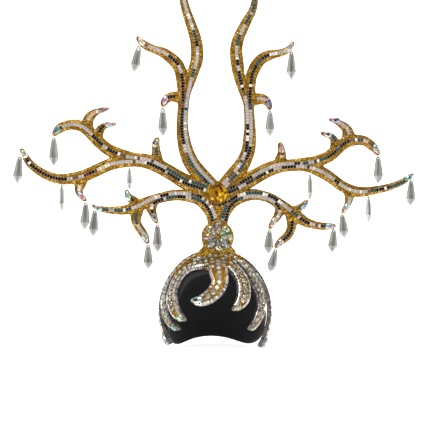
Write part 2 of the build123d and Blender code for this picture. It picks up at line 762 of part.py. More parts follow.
# Knob: a round foam disc with a foot that stands on the crown plate
with BuildPart() as flower_knob:
    with BuildSketch(Plane.XZ.offset(panel_back)):
        with Locations((0, knob_height)):
            Circle(knob_radius)
    extrude(amount=panel_thickness + knob_proud)
    fillet(flower_knob.faces().sort_by(Axis.Y)[0].edges(), knob_fillet)
    foot_top = knob_height - knob_radius + foot_height
    with Locations((0, -knob_front + knob_fillet, foot_top)):
        Box(foot_width, foot_length, 2 * foot_height, align=(Align.CENTER, Align.MIN, Align.MAX))
    with BuildSketch(Plane.XZ.offset(knob_front - knob_fillet)):
        shoulder = foot_top - shoulder_drop
        Polygon(
            (-skirt_width / 2, foot_top - 2 * foot_height),
            (skirt_width / 2, foot_top - 2 * foot_height),
            (skirt_width / 2, shoulder - skirt_height),
            (foot_width / 2, shoulder),
            (-foot_width / 2, shoulder),
            (-skirt_width / 2, shoulder - skirt_height),
            align=None,
        )
    extrude(amount=-skirt_length)
    add(dome(liner_wall + tendril_gap + tendril_depth + joint_gap), mode=Mode.SUBTRACT)
finish(flower_knob.part, "flower_knob")

# Liner: a thin dome over the head, open below and cut back from the face
with BuildPart() as liner_cap:
    add(dome(liner_wall))
    add(dome(0), mode=Mode.SUBTRACT)
    with BuildSketch(Plane.YZ):
        with BuildLine():
            brow = Spline(*[
                (-head_half_length * forward, -head_half_height * below)
                for forward, below in liner_edge
            ])
            far = 2 * head_half_length
            deep = 3 * head_half_height
            Polyline(
                brow @ 1, (far, (brow @ 1).Y), (far, -deep), (-far, -deep), (-far, (brow @ 0).Y), brow @ 0,
            )
        make_face()
    extrude(amount=2 * head_half_breadth, both=True, mode=Mode.SUBTRACT)
finish(liner_cap.part, "liner_cap")

# Crown plate: a round piece of the tendrils' foam on top of the cap
with BuildPart() as crown_plate:
    add(dome(liner_wall + tendril_gap + tendril_depth))
    add(dome(liner_wall + tendril_gap), mode=Mode.SUBTRACT)
    with Locations((0, -plate_forward, -head_half_height)):
        Cylinder(
            plate_radius,
            2 * head_half_height,
            align=(Align.CENTER, Align.CENTER, Align.MIN),
            mode=Mode.INTERSECT,
        )
finish(crown_plate.part, "crown_plate")


# Tendrils, each cut where the plate takes over
with BuildPart() as plate_room:
    with Locations((0, -plate_forward, 0)):
        Cylinder(plate_radius + joint_gap, 2 * head_half_height)

for name in tendril_lines:
    with BuildPart() as tendril:
        add(loft_along(tendril_frames(name), tendril_section))
        add(plate_room.part, mode=Mode.SUBTRACT)
    finish(tendril.part, name)

for group, names in tendril_groups.items():
    with BuildPart() as bands:
        for name in names:
            for side in (-1, 1):
                add(loft_along(tendril_frames(name)[:-1], chain_section(side)))
        add(plate_room.part, mode=Mode.SUBTRACT)
    finish(bands.part, "edge_bands_" + group)
    finish(make_stone_rows(names), "stone_rows_" + group)
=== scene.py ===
"""Carnival branch headdress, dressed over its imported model.

Glitter foam branches with strips of mirror tiles, iridescent stones and
crystal drops stand on a cloth cap that jewelled foam tendrils cover.
Sizes are in millimetres and repeat the part's own. Tables hold shares of them, or
degrees. Meshes are in metres.
"""

import logging
import math
import random
from dataclasses import dataclass, field
from enum import Enum

import bpy
import numpy as np
from mathutils import Matrix, Vector


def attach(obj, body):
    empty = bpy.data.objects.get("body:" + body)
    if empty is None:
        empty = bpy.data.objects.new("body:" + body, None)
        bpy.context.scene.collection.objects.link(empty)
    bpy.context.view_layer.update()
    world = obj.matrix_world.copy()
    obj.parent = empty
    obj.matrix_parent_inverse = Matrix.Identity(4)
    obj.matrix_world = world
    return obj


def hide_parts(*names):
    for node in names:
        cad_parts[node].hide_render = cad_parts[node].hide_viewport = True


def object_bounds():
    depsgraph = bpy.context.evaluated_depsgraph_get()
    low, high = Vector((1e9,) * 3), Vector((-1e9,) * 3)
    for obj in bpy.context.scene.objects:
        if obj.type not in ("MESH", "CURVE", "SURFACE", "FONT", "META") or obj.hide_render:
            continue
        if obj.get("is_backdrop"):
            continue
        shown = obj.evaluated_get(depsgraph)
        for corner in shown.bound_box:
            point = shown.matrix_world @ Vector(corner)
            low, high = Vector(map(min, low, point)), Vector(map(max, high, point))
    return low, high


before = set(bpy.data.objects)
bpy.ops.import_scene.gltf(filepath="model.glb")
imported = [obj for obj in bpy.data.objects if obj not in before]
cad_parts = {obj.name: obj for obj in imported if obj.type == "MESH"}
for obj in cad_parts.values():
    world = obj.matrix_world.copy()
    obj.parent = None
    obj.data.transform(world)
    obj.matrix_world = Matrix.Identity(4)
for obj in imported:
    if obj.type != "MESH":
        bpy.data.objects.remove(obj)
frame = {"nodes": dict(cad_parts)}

log = logging.getLogger("headdress")

MM = 0.001
HUB_HEIGHT = 100.0
HUB_REACH = 56.0
HUB_WEB_RADIUS = 20.0
NECK_WEB_WIDTH = 20.0
SIDE_WEB_WIDTH = 96.0
SIDE_WEB_HEIGHT = 8.0
SIDE_WEB_RISE = 2.0
PANEL_BACK = 40.0
PANEL_THICKNESS = 12.0
PANEL_MIDDLE = PANEL_BACK + PANEL_THICKNESS / 2
PANEL_FRONT = PANEL_BACK + PANEL_THICKNESS
WASTE_ROOM = 4.0
KNOB_HEIGHT = 31.0
KNOB_RADIUS = 25.6
KNOB_FRONT = PANEL_FRONT + 2.0
HEAD_HALF = (80.0, 99.0, 91.0)
LINER_WALL = 3.0
TENDRIL_GAP = 0.85
TENDRIL_DEPTH = 7.0
TENDRIL_WIDTH = 22.0
TENDRIL_TOP = 0.8
PLATE_RADIUS = 32.0
PLATE_FORWARD = 40.0
PEAR_LENGTH = 13.5
PEAR_WIDTH = 8.0
PEAR_HEIGHT = 3.0
PEAR_TIP_INSET = 3.0
PEAR_CROWN = ((0.80, 0.66), (0.48, 1.0))
PEAR_GIRDLE = 0.28
PEAR_SIDES = 12
ROUND_CROWN = ((0.84, 0.70), (0.58, 1.0))
ROUND_GIRDLE = 0.3
ROUND_STONE_SIDES = 10
ROUND_STONE_HEIGHT = 2.4
ROUND_SIDES = 96
FOAM_VOXEL = 1.3
FOAM_EDGE_ANGLE = 40.0

Colour = tuple[float, float, float]
Rows = list[tuple[float, ...]]
Crown = tuple[tuple[float, float], ...]

# Places out and up, and widths, as shares of an arm's reach, rise and width
ARM_LINES: dict[str, dict[str, Rows]] = {
    "left_tall": {
        "stem": [
            (0.045, 0.025, 0.94), (0.190, 0.080, 1.08), (0.280, 0.120, 1.05), (0.355, 0.170, 0.99),
            (0.400, 0.225, 0.89), (0.425, 0.280, 0.79), (0.430, 0.340, 0.69), (0.420, 0.395, 0.69),
            (0.400, 0.450, 0.65), (0.370, 0.490, 0.65), (0.330, 0.530, 0.68), (0.290, 0.575, 0.72),
            (0.255, 0.620, 0.78), (0.250, 0.670, 0.79), (0.265, 0.715, 0.74), (0.300, 0.760, 0.68),
            (0.345, 0.810, 0.62), (0.385, 0.855, 0.56), (0.415, 0.900, 0.50), (0.430, 0.945, 0.40),
            (0.415, 0.990, 0.22),
        ],
        "fork": [
            (0.405, 0.440, 0.50), (0.425, 0.485, 0.65), (0.435, 0.535, 0.76), (0.450, 0.565, 0.76),
            (0.490, 0.600, 0.76), (0.570, 0.630, 0.72), (0.665, 0.655, 0.62), (0.775, 0.670, 0.50),
            (0.865, 0.685, 0.50), (0.935, 0.705, 0.40), (0.985, 0.730, 0.22),
        ],
        "hook": [
            (0.410, 0.435, 0.65), (0.515, 0.450, 0.65), (0.600, 0.445, 0.54), (0.650, 0.425, 0.47),
            (0.670, 0.400, 0.25),
        ],
    },
    "left_upper": {
        "stem": [
            (0.030, 0.020, 0.86), (0.090, 0.085, 0.99), (0.155, 0.130, 0.99), (0.215, 0.205, 0.91),
            (0.270, 0.280, 0.89), (0.320, 0.340, 0.90), (0.370, 0.380, 0.89), (0.430, 0.390, 0.82),
            (0.495, 0.370, 0.77), (0.545, 0.340, 0.73), (0.620, 0.265, 0.75), (0.680, 0.205, 0.74),
            (0.735, 0.175, 0.70), (0.790, 0.165, 0.62), (0.840, 0.185, 0.56), (0.885, 0.230, 0.53),
            (0.925, 0.290, 0.49), (0.960, 0.370, 0.45), (0.980, 0.450, 0.36), (1.000, 0.525, 0.20),
        ],
        "fork": [
            (0.395, 0.390, 0.66), (0.455, 0.425, 0.73), (0.510, 0.465, 0.73), (0.555, 0.510, 0.73),
            (0.595, 0.580, 0.73), (0.635, 0.670, 0.69), (0.665, 0.740, 0.68), (0.705, 0.790, 0.65),
            (0.745, 0.800, 0.61), (0.785, 0.775, 0.58), (0.815, 0.730, 0.50), (0.835, 0.660, 0.23),
        ],
        "high_twig": [
            (0.650, 0.705, 0.59), (0.660, 0.845, 0.66), (0.640, 0.915, 0.54), (0.610, 0.955, 0.37),
            (0.580, 0.975, 0.26), (0.550, 0.995, 0.17),
        ],
        "mid_twig": [
            (0.610, 0.590, 0.59), (0.605, 0.705, 0.57), (0.585, 0.775, 0.44), (0.555, 0.800, 0.32),
            (0.515, 0.810, 0.17),
        ],
        "near_twig": [
            (0.300, 0.325, 0.66), (0.310, 0.440, 0.59), (0.315, 0.525, 0.49), (0.315, 0.595, 0.44),
            (0.300, 0.660, 0.20),
        ],
        "low_twig": [
            (0.680, 0.205, 0.66), (0.700, 0.095, 0.63), (0.705, 0.030, 0.49), (0.695, -0.030, 0.37),
            (0.665, -0.090, 0.20),
        ],
    },
    "left_lower": {
        "stem": [
            (0.040, -0.705, 0.95), (0.040, -0.510, 0.95), (0.060, -0.320, 1.24), (0.100, -0.175, 1.39),
            (0.155, -0.085, 1.29), (0.220, -0.045, 1.19), (0.290, -0.030, 1.03), (0.355, -0.035, 0.98),
            (0.420, -0.065, 0.93), (0.490, -0.110, 0.94), (0.550, -0.160, 0.99), (0.615, -0.225, 1.03),
            (0.670, -0.280, 0.95), (0.740, -0.320, 0.83), (0.830, -0.325, 0.67), (0.895, -0.310, 0.56),
            (0.950, -0.275, 0.44), (0.995, -0.215, 0.26),
        ],
        "up_twig": [
            (0.605, -0.230, 0.79), (0.660, -0.145, 0.79), (0.700, -0.075, 0.69), (0.715, 0.005, 0.50),
            (0.720, 0.085, 0.30),
        ],
        "near_twig": [
            (0.505, -0.135, 0.94), (0.525, -0.270, 0.97), (0.515, -0.375, 0.75), (0.500, -0.470, 0.59),
            (0.475, -0.585, 0.32),
        ],
        "far_twig": [
            (0.620, -0.210, 0.89), (0.640, -0.375, 1.09), (0.645, -0.530, 0.85), (0.615, -0.680, 0.79),
            (0.575, -0.825, 0.69), (0.550, -0.980, 0.36),
        ],
    },
    "right_tall": {
        "stem": [
            (0.060, 0.025, 0.94), (0.195, 0.080, 1.08), (0.295, 0.125, 1.05), (0.355, 0.165, 0.94),
            (0.400, 0.210, 0.89), (0.415, 0.260, 0.85), (0.420, 0.305, 0.75), (0.415, 0.355, 0.66),
            (0.410, 0.400, 0.65), (0.400, 0.435, 0.66), (0.360, 0.480, 0.66), (0.320, 0.520, 0.68),
            (0.280, 0.565, 0.71), (0.260, 0.615, 0.81), (0.245, 0.660, 0.82), (0.245, 0.705, 0.78),
            (0.275, 0.750, 0.71), (0.325, 0.790, 0.65), (0.385, 0.835, 0.58), (0.445, 0.875, 0.50),
            (0.480, 0.920, 0.42), (0.485, 0.955, 0.32), (0.470, 0.995, 0.22),
        ],
        "fork": [
            (0.400, 0.425, 0.50), (0.415, 0.475, 0.68), (0.425, 0.525, 0.68), (0.440, 0.565, 0.71),
            (0.490, 0.610, 0.75), (0.560, 0.645, 0.69), (0.655, 0.665, 0.66), (0.760, 0.675, 0.50),
            (0.865, 0.685, 0.45), (0.940, 0.705, 0.36), (0.990, 0.735, 0.22),
        ],
        "hook": [
            (0.395, 0.450, 0.65), (0.500, 0.455, 0.74), (0.585, 0.455, 0.65), (0.650, 0.440, 0.50),
            (0.680, 0.400, 0.23),
        ],
    },
    "right_upper": {
        "stem": [
            (0.035, 0.020, 0.86), (0.090, 0.080, 0.99), (0.150, 0.170, 1.02), (0.205, 0.250, 0.95),
            (0.255, 0.320, 0.93), (0.305, 0.365, 0.85), (0.355, 0.380, 0.73), (0.410, 0.390, 0.78),
            (0.465, 0.370, 0.75), (0.515, 0.310, 0.73), (0.570, 0.225, 0.69), (0.615, 0.135, 0.67),
            (0.660, 0.065, 0.69), (0.705, 0.030, 0.65), (0.755, 0.030, 0.57), (0.805, 0.050, 0.49),
            (0.865, 0.085, 0.44), (0.915, 0.130, 0.39), (0.955, 0.185, 0.37), (0.980, 0.235, 0.29),
            (1.000, 0.275, 0.19),
        ],
        "fork": [
            (0.375, 0.385, 0.59), (0.430, 0.410, 0.69), (0.475, 0.425, 0.69), (0.520, 0.455, 0.70),
            (0.565, 0.505, 0.73), (0.600, 0.580, 0.73), (0.630, 0.655, 0.73), (0.670, 0.715, 0.73),
            (0.710, 0.730, 0.65), (0.750, 0.715, 0.59), (0.780, 0.660, 0.57), (0.805, 0.595, 0.44),
            (0.820, 0.515, 0.20),
        ],
        "high_twig": [
            (0.665, 0.660, 0.66), (0.665, 0.795, 0.79), (0.655, 0.880, 0.59), (0.625, 0.945, 0.44),
            (0.595, 0.990, 0.30), (0.560, 1.005, 0.17),
        ],
        "mid_twig": [
            (0.595, 0.575, 0.59), (0.595, 0.695, 0.54), (0.585, 0.760, 0.41), (0.555, 0.800, 0.33),
            (0.520, 0.825, 0.20),
        ],
        "near_twig": [
            (0.315, 0.345, 0.73), (0.320, 0.480, 0.66), (0.325, 0.560, 0.48), (0.320, 0.630, 0.40),
            (0.315, 0.705, 0.20),
        ],
        "low_twig": [
            (0.675, 0.075, 0.66), (0.670, -0.035, 0.59), (0.665, -0.110, 0.44), (0.655, -0.175, 0.36),
            (0.630, -0.265, 0.20),
        ],
    },
    "right_lower": {
        "stem": [
            (0.045, -0.655, 0.95), (0.045, -0.475, 0.95), (0.065, -0.315, 1.19), (0.105, -0.170, 1.34),
            (0.170, -0.075, 1.29), (0.240, -0.030, 1.15), (0.315, -0.015, 1.02), (0.380, -0.040, 0.93),
            (0.445, -0.085, 0.95), (0.505, -0.165, 1.01), (0.560, -0.245, 1.05), (0.620, -0.335, 1.05),
            (0.680, -0.425, 1.05), (0.735, -0.505, 0.91), (0.805, -0.560, 0.77), (0.880, -0.590, 0.69),
            (0.950, -0.590, 0.59), (1.000, -0.580, 0.32),
        ],
        "up_twig": [
            (0.610, -0.325, 0.79), (0.670, -0.275, 0.69), (0.710, -0.230, 0.59), (0.740, -0.170, 0.50),
            (0.760, -0.100, 0.30),
        ],
        "near_twig": [
            (0.540, -0.205, 0.94), (0.520, -0.325, 0.87), (0.500, -0.425, 0.71), (0.465, -0.520, 0.56),
            (0.435, -0.650, 0.32),
        ],
        "far_twig": [
            (0.610, -0.335, 0.99), (0.625, -0.490, 0.95), (0.620, -0.625, 0.85), (0.590, -0.760, 0.79),
            (0.535, -0.860, 0.69), (0.480, -0.985, 0.34),
        ],
    },
}

# Degrees round from the front, degrees down from the top, and shares of the tendrils' width
TENDRIL_LINES: dict[str, Rows] = {
    "front_curl": [
        (0, 24, 1.30), (-1, 33, 1.30), (-1, 41, 1.27), (-1, 48, 1.26), (0, 55, 1.12), (-2, 62, 1.04),
        (-7, 68, 0.96), (-14, 73, 0.80), (-22, 76, 0.58), (-31, 76, 0.25),
    ],
    "left_brow_tendril": [
        (-14, 30, 0.70), (-26, 36, 0.78), (-40, 38, 0.80), (-51, 42, 0.80), (-58, 49, 0.86),
        (-61, 57, 0.92), (-61, 65, 0.92), (-60, 72, 0.92), (-57, 78, 0.90), (-52, 85, 0.80),
        (-46, 90, 0.60), (-38, 94, 0.22),
    ],
    "left_temple_tendril": [
        (-35, 20, 0.80), (-52, 24, 0.80), (-65, 32, 0.80), (-70, 42, 0.80), (-75, 51, 0.84),
        (-78, 60, 0.90), (-78, 69, 0.90), (-75, 78, 0.90), (-70, 86, 0.85), (-64, 93, 0.75),
        (-56, 99, 0.50), (-47, 103, 0.22),
    ],
    "left_ear_tendril": [
        (-55, 12, 0.80), (-95, 22, 0.85), (-104, 34, 0.90), (-106, 46, 0.90), (-106, 58, 0.90),
        (-103, 70, 0.90), (-97, 82, 0.90), (-90, 93, 0.85), (-84, 103, 0.75), (-80, 112, 0.60),
        (-74, 120, 0.25),
    ],
    "right_brow_tendril": [
        (16, 27, 0.80), (19, 34, 0.85), (23, 41, 0.90), (27, 48, 0.90), (29, 55, 0.95), (29, 62, 0.95),
        (27, 69, 0.95), (24, 75, 0.85), (19, 80, 0.60), (12, 84, 0.25),
    ],
    "right_temple_tendril": [
        (36, 20, 0.90), (45, 28, 0.90), (48, 38, 0.90), (50, 48, 0.90), (51, 58, 0.90), (53, 66, 0.90),
        (53, 75, 0.90), (50, 84, 0.85), (45, 91, 0.70), (39, 98, 0.50), (32, 103, 0.22),
    ],
    "right_ear_tendril": [
        (75, 15, 0.80), (88, 25, 0.85), (92, 37, 0.90), (92, 50, 0.90), (90, 62, 0.90), (86, 74, 0.90),
        (81, 86, 0.90), (77, 96, 0.85), (74, 106, 0.75), (71, 115, 0.60), (66, 123, 0.25),
    ],
}

# Places forward and down along the cap's edge, as shares of the head's half length and half height
LINER_EDGE: Rows = [
    (0.78, 0.22), (0.66, 0.30), (0.59, 0.82), (0.41, 1.15), (0.0, 1.48), (-0.40, 1.62), (-0.95, 1.50),
]


class Side(Enum):
    """Left and right as seen from the front."""

    LEFT = -1
    RIGHT = 1

    @property
    def word(self) -> str:
        """The side's name as the nodes spell it."""
        return self.name.lower()


# Shader maths


class Reading:
    """A shader value that takes part in sums."""

    def __init__(self, bench: "Bench", socket: bpy.types.NodeSocket | None) -> None:
        """Wraps one output socket, or nothing for a node that ends the rest."""
        self.bench = bench
        self.socket = socket

    def _math(self, operation: str, first: object, second: object) -> "Reading":
        """Adds one Math node and gives its value."""
        return self.bench.node("ShaderNodeMath", {"operation": operation}, {0: first, 1: second})

    def __add__(self, other: object) -> "Reading":
        """The sum."""
        return self._math("ADD", self, other)

    def __radd__(self, other: object) -> "Reading":
        """The sum, the other first."""
        return self._math("ADD", other, self)

    def __sub__(self, other: object) -> "Reading":
        """The difference."""
        return self._math("SUBTRACT", self, other)

    def __rsub__(self, other: object) -> "Reading":
        """The difference, the other first."""
        return self._math("SUBTRACT", other, self)

    def __mul__(self, other: object) -> "Reading":
        """The product."""
        return self._math("MULTIPLY", self, other)

    def __rmul__(self, other: object) -> "Reading":
        """The product, the other first."""
        return self._math("MULTIPLY", other, self)


class Bench:
    """The nodes of one material, or of the studio's air."""

    def __init__(self, name: str, shelf: bpy.types.bpy_prop_collection | None = None) -> None:
        """Starts with no node.

        Args:
            name: The name of what is made.
            shelf: Where it is kept, which is among the materials unless it is given.
        """
        self.made = (bpy.data.materials if shelf is None else shelf).new(name)
        self.made.use_nodes = True
        self.tree = self.made.node_tree
        self.tree.nodes.clear()

    def node(self, kind: str, settings: dict, sockets: dict, out: int | str = 0) -> Reading:
        """Adds a node.

        Args:
            kind: The node's type.
            settings: What is set on the node first; "stops" fills a ramp.
            sockets: A value or a reading for each named or numbered input.
            out: The output that is wanted.

        Returns:
            That output's value.
        """
        made = self.tree.nodes.new(kind)
        for key, value in settings.items():
            if key == "stops":
                ramp = made.color_ramp.elements
                while len(ramp) < len(value):
                    ramp.new(1.0)
                for stop, (place, colour) in zip(ramp, value):
                    stop.position = place
                    stop.color = (*colour, 1.0)
            else:
                setattr(made, key, value)
        for key, value in sockets.items():
            if isinstance(value, Reading):
                self.tree.links.new(value.socket, made.inputs[key])
            elif made.inputs[key].type == "RGBA":
                made.inputs[key].default_value = (*value[:3], 1.0)
            else:
                made.inputs[key].default_value = value
        return Reading(self, made.outputs[out] if len(made.outputs) else None)

    def place(self) -> Reading:
        """The object coordinates."""
        return self.node("ShaderNodeTexCoord", {}, {}, "Object")

    def painted(self, attribute: str) -> Reading:
        """A colour that is stored on the mesh."""
        settings = {"attribute_type": "GEOMETRY", "attribute_name": attribute}
        return self.node("ShaderNodeAttribute", settings, {}, "Color")

    def noise(self, scale: float, detail: float = 2.0, rough: float = 0.5) -> Reading:
        """Soft noise from 0 to 1, its scale in waves a metre."""
        sockets = {"Vector": self.place(), "Scale": scale, "Detail": detail, "Roughness": rough}
        return self.node("ShaderNodeTexNoise", {}, sockets, 0)

    def flakes(self, size: float) -> Reading:
        """Small cells of a size in metres, each with its own random colour."""
        return self.node("ShaderNodeTexVoronoi", {}, {"Vector": self.place(), "Scale": 1.0 / size}, "Color")

    def ramp(self, factor: Reading, stops: list[tuple[float, Colour]]) -> Reading:
        """Colours along a value, from each stop's place and colour."""
        return self.node("ShaderNodeValToRGB", {"stops": stops}, {0: factor})

    def blend(self, factor: object, first: object, second: object, way: str = "MIX") -> Reading:
        """Mixes two colours, with a factor that says how much of the second."""
        settings = {"data_type": "RGBA", "blend_type": way}
        return self.node("ShaderNodeMix", settings, {0: factor, 6: first, 7: second}, 2)

    def part_of(self, colour: Reading, channel: str) -> Reading:
        """One channel of a colour."""
        return self.node("ShaderNodeSeparateColor", {}, {0: colour}, channel)

    def part_way(self, way: Reading, axis: str) -> Reading:
        """One part of a direction."""
        return self.node("ShaderNodeSeparateXYZ", {}, {0: way}, axis)

    def turned(self, scatter: Reading, strength: float) -> Reading:
        """The surface's normal, leaned at random.

        Args:
            scatter: A random colour.
            strength: How far it leans.

        Returns:
            The new normal.
        """
        normal = self.node("ShaderNodeNewGeometry", {}, {}, "Normal")
        centred = self.node(
            "ShaderNodeVectorMath", {"operation": "SUBTRACT"}, {0: scatter, 1: (0.5, 0.5, 0.5)}
        )
        leaned = self.node(
            "ShaderNodeVectorMath",
            {"operation": "MULTIPLY_ADD"},
            {0: centred, 1: (strength, strength, strength), 2: normal},
        )
        return self.node("ShaderNodeVectorMath", {"operation": "NORMALIZE"}, {0: leaned})

    def bump(self, height: Reading, depth: float, strength: float = 1.0) -> Reading:
        """A normal from a height of 0 to 1, where 1 stands for a depth in metres."""
        sockets = {"Height": height, "Distance": depth, "Strength": strength}
        return self.node("ShaderNodeBump", {}, sockets)

    def coat(self, sockets: dict) -> bpy.types.Material:
        """Ends the material in one principled surface.

        Args:
            sockets: The surface's inputs.

        Returns:
            The material.
        """
        surface = self.node("ShaderNodeBsdfPrincipled", {}, sockets)
        self.node("ShaderNodeOutputMaterial", {}, {"Surface": surface})
        return self.made


# Finishes


@dataclass(frozen=True)
class GlitterFoam:
    """Craft foam with a skin of loose glitter."""

    name: str = "gold_glitter_foam"
    deep: Colour = (0.095, 0.036, 0.0012)
    middle: Colour = (0.255, 0.112, 0.0038)
    bright: Colour = (0.47, 0.255, 0.009)
    spark: Colour = (1.0, 0.78, 0.30)
    shade: Colour = (0.115, 0.046, 0.0015)
    edge: Colour = (0.75, 0.42, 0.06)
    flake: float = 0.0011
    lean: float = 0.42

    def material(self) -> bpy.types.Material:
        """Makes the material: random flakes, each leaned its own way, over a slow change of tone."""
        bench = Bench(self.name)
        scatter = bench.flakes(self.flake)
        chance = bench.part_of(scatter, "Red")
        glint = bench.ramp(
            chance, [(0.0, self.deep), (0.45, self.middle), (0.80, self.bright), (0.97, self.spark)]
        )
        tone = bench.noise(95.0, 3.0, 0.6)
        cover = bench.node(
            "ShaderNodeMapRange", {}, {"Value": tone, "From Min": 0.38, "From Max": 0.66, "To Max": 0.75}
        )
        colour = bench.blend(cover, glint, self.shade)
        rough = 0.34 + bench.part_of(scatter, "Green") * 0.28
        return bench.coat({
            "Base Color": colour,
            "Metallic": 0.55 + chance * 0.3,
            "Roughness": rough,
            "Specular IOR Level": 0.2,
            "Specular Tint": self.edge,
            "Normal": bench.turned(scatter, self.lean),
        })


@dataclass(frozen=True)
class DarkFoam:
    """The silver-grey foam of a tendril's sides and underside."""

    name: str = "dark_foam"
    dark: Colour = (0.050, 0.043, 0.038)
    pale: Colour = (0.50, 0.46, 0.43)
    flake: float = 0.0008

    def material(self) -> bpy.types.Material:
        """Makes the material: dark foam with a dust of silver glitter."""
        bench = Bench(self.name)
        scatter = bench.flakes(self.flake)
        chance = bench.part_of(scatter, "Red")
        colour = bench.ramp(chance, [(0.0, self.dark), (0.45, self.dark), (0.95, self.pale)])
        return bench.coat({
            "Base Color": colour,
            "Metallic": chance * 0.4,
            "Roughness": 0.45 + bench.noise(300.0) * 0.3,
            "Normal": bench.turned(scatter, 0.3),
        })


@dataclass(frozen=True)
class MirrorTile:
    """Small cut mirrors, each of its own colour."""

    name: str = "mirror_tile"
    haze: Colour = (0.10, 0.085, 0.08)

    def material(self) -> bpy.types.Material:
        """Makes the material: the tile's painted tint behind glass, with a faint haze."""
        bench = Bench(self.name)
        drift = bench.noise(900.0, 2.0)
        return bench.coat({
            "Base Color": bench.blend(drift * 0.06, bench.painted("tint"), self.haze),
            "Metallic": 0.25,
            "Roughness": 0.07 + drift * 0.16,
            "Specular IOR Level": 0.04,
            "Normal": bench.bump(bench.noise(420.0, 1.0), 0.00012, 0.5),
        })


@dataclass(frozen=True)
class FoiledStone:
    """A cut stone with a foil behind it, each facet of its own tint."""

    name: str = "iridescent_stone"
    metal: float = 0.6
    gloss: float = 0.15
    shift: float = 0.35
    shine: float = 0.25
    warm: Colour = (0.95, 0.62, 0.42)
    cool: Colour = (0.30, 0.85, 0.80)

    def material(self) -> bpy.types.Material:
        """Makes the material: painted facets, whose tint drifts a little across each."""
        bench = Bench(self.name)
        drift = bench.noise(420.0, 1.0)
        sheen = bench.ramp(drift, [(0.35, self.warm), (0.65, self.cool)])
        colour = bench.blend(self.shift, bench.painted("tint"), sheen, "SOFT_LIGHT")
        return bench.coat({
            "Base Color": colour,
            "Metallic": self.metal,
            "Roughness": 0.09 + drift * 0.10,
            "Specular IOR Level": self.shine,
            "Coat Weight": self.gloss,
            "Coat Roughness": 0.02,
        })


@dataclass(frozen=True)
class CutCrystal:
    """Clear cut crystal, faintly grey, with painted shade on the facets that face the front and painted
    reflection on the side and lower facets.
    """

    name: str = "clear_crystal"
    clear: Colour = (0.93, 0.93, 0.89)
    middle: Colour = (0.46, 0.46, 0.43)
    cloud: Colour = (0.13, 0.13, 0.113)

    def material(self) -> bpy.types.Material:
        """Makes the material: grey glass, painted paler on the side and lower facets as painted reflection and
        darker on the front facets as painted shade, with drawn streaks.
        """
        bench = Bench(self.name)
        facing = bench.node("ShaderNodeNewGeometry", {}, {}, "Normal")
        aside = bench.node("ShaderNodeMath", {"operation": "ABSOLUTE"}, {0: bench.part_way(facing, "X")})
        down = bench.part_way(facing, "Z") * -1.0
        below = bench.node("ShaderNodeMath", {"operation": "MAXIMUM"}, {0: down, 1: 0.0})
        drawn = bench.node(
            "ShaderNodeVectorMath", {"operation": "MULTIPLY"}, {0: bench.place(), 1: (1.0, 1.0, 0.12)}
        )
        streak = bench.node("ShaderNodeTexNoise", {}, {"Vector": drawn, "Scale": 260.0, "Detail": 1.0})
        # Paleness by the facet's facing: side and downward facets take painted reflection, front facets
        # painted shade.
        pale = aside * 0.55 + below * 0.9 + streak * 0.7 - 0.25
        return bench.coat({
            "Base Color": bench.ramp(pale, [(0.0, self.cloud), (0.45, self.middle), (0.9, self.clear)]),
            "Metallic": 0.0,
            "Roughness": 0.03 + streak * 0.05,
            "IOR": 1.5,
            "Transmission Weight": 0.45,
        })


@dataclass(frozen=True)
class KnitCloth:
    """Black knitted cloth with a fine rib."""

    name: str = "black_cloth"
    dark: Colour = (0.005, 0.005, 0.006)
    pale: Colour = (0.026, 0.025, 0.027)

    def material(self) -> bpy.types.Material:
        """Makes the material: two crossing ribs, and a soft change of tone."""
        bench = Bench(self.name)
        across = {"Vector": bench.place(), "Scale": 420.0, "Distortion": 0.6}
        rib = bench.node("ShaderNodeTexWave", {"bands_direction": "X"}, across, "Fac")
        loops = bench.node("ShaderNodeTexWave", {"bands_direction": "Z"}, across, "Fac")
        height = rib * 0.6 + loops * 0.4
        worn = bench.noise(30.0, 3.0)
        return bench.coat({
            "Base Color": bench.ramp(height * 0.6 + worn * 0.4, [(0.2, self.dark), (0.9, self.pale)]),
            "Roughness": 0.75 + worn * 0.2,
            "Sheen Weight": 0.10,
            "Sheen Roughness": 0.4,
            "Normal": bench.bump(height, 0.0003, 0.8),
        })


@dataclass(frozen=True)
class SilverChain:
    """Small square stones in a bright cup chain."""

    name: str = "silver_chain"
    shade: Colour = (0.30, 0.26, 0.25)

    def material(self) -> bpy.types.Material:
        """Makes the material: painted stones that shine a little unevenly."""
        bench = Bench(self.name)
        drift = bench.noise(700.0, 1.0)
        return bench.coat({
            "Base Color": bench.blend(drift * 0.3, bench.painted("tint"), self.shade),
            "Metallic": 0.7,
            "Roughness": 0.10 + drift * 0.15,
            "Coat Weight": 0.6,
        })


@dataclass(frozen=True)
class GiltWire:
    """Gilt wire, a little worn."""

    name: str = "gold_wire"
    dull: Colour = (0.62, 0.42, 0.12)
    bright: Colour = (0.85, 0.64, 0.28)

    def material(self) -> bpy.types.Material:
        """Makes the material: gilt with duller patches."""
        bench = Bench(self.name)
        wear = bench.noise(800.0, 3.0)
        return bench.coat({
            "Base Color": bench.ramp(wear, [(0.3, self.dull), (0.7, self.bright)]),
            "Metallic": 0.95,
            "Roughness": 0.18 + wear * 0.25,
        })


@dataclass(frozen=True)
class StudioPaper:
    """White studio paper."""

    name: str = "studio_paper"
    shade: Colour = (0.94, 0.94, 0.94)
    light: Colour = (0.97, 0.97, 0.97)

    def material(self) -> bpy.types.Material:
        """Makes the material: matt white with a hardly visible grain."""
        bench = Bench(self.name)
        grain = bench.noise(60.0, 3.0)
        return bench.coat({
            "Base Color": bench.ramp(grain, [(0.0, self.shade), (1.0, self.light)]),
            "Roughness": 0.9,
            "Emission Color": (1.0, 1.0, 1.0),
            "Emission Strength": 0.85,
        })


# Hand tools


def put_down() -> None:
    """Leaves edit mode and selects nothing."""
    if bpy.context.mode != "OBJECT":
        bpy.ops.object.mode_set(mode="OBJECT")
    bpy.ops.object.select_all(action="DESELECT")


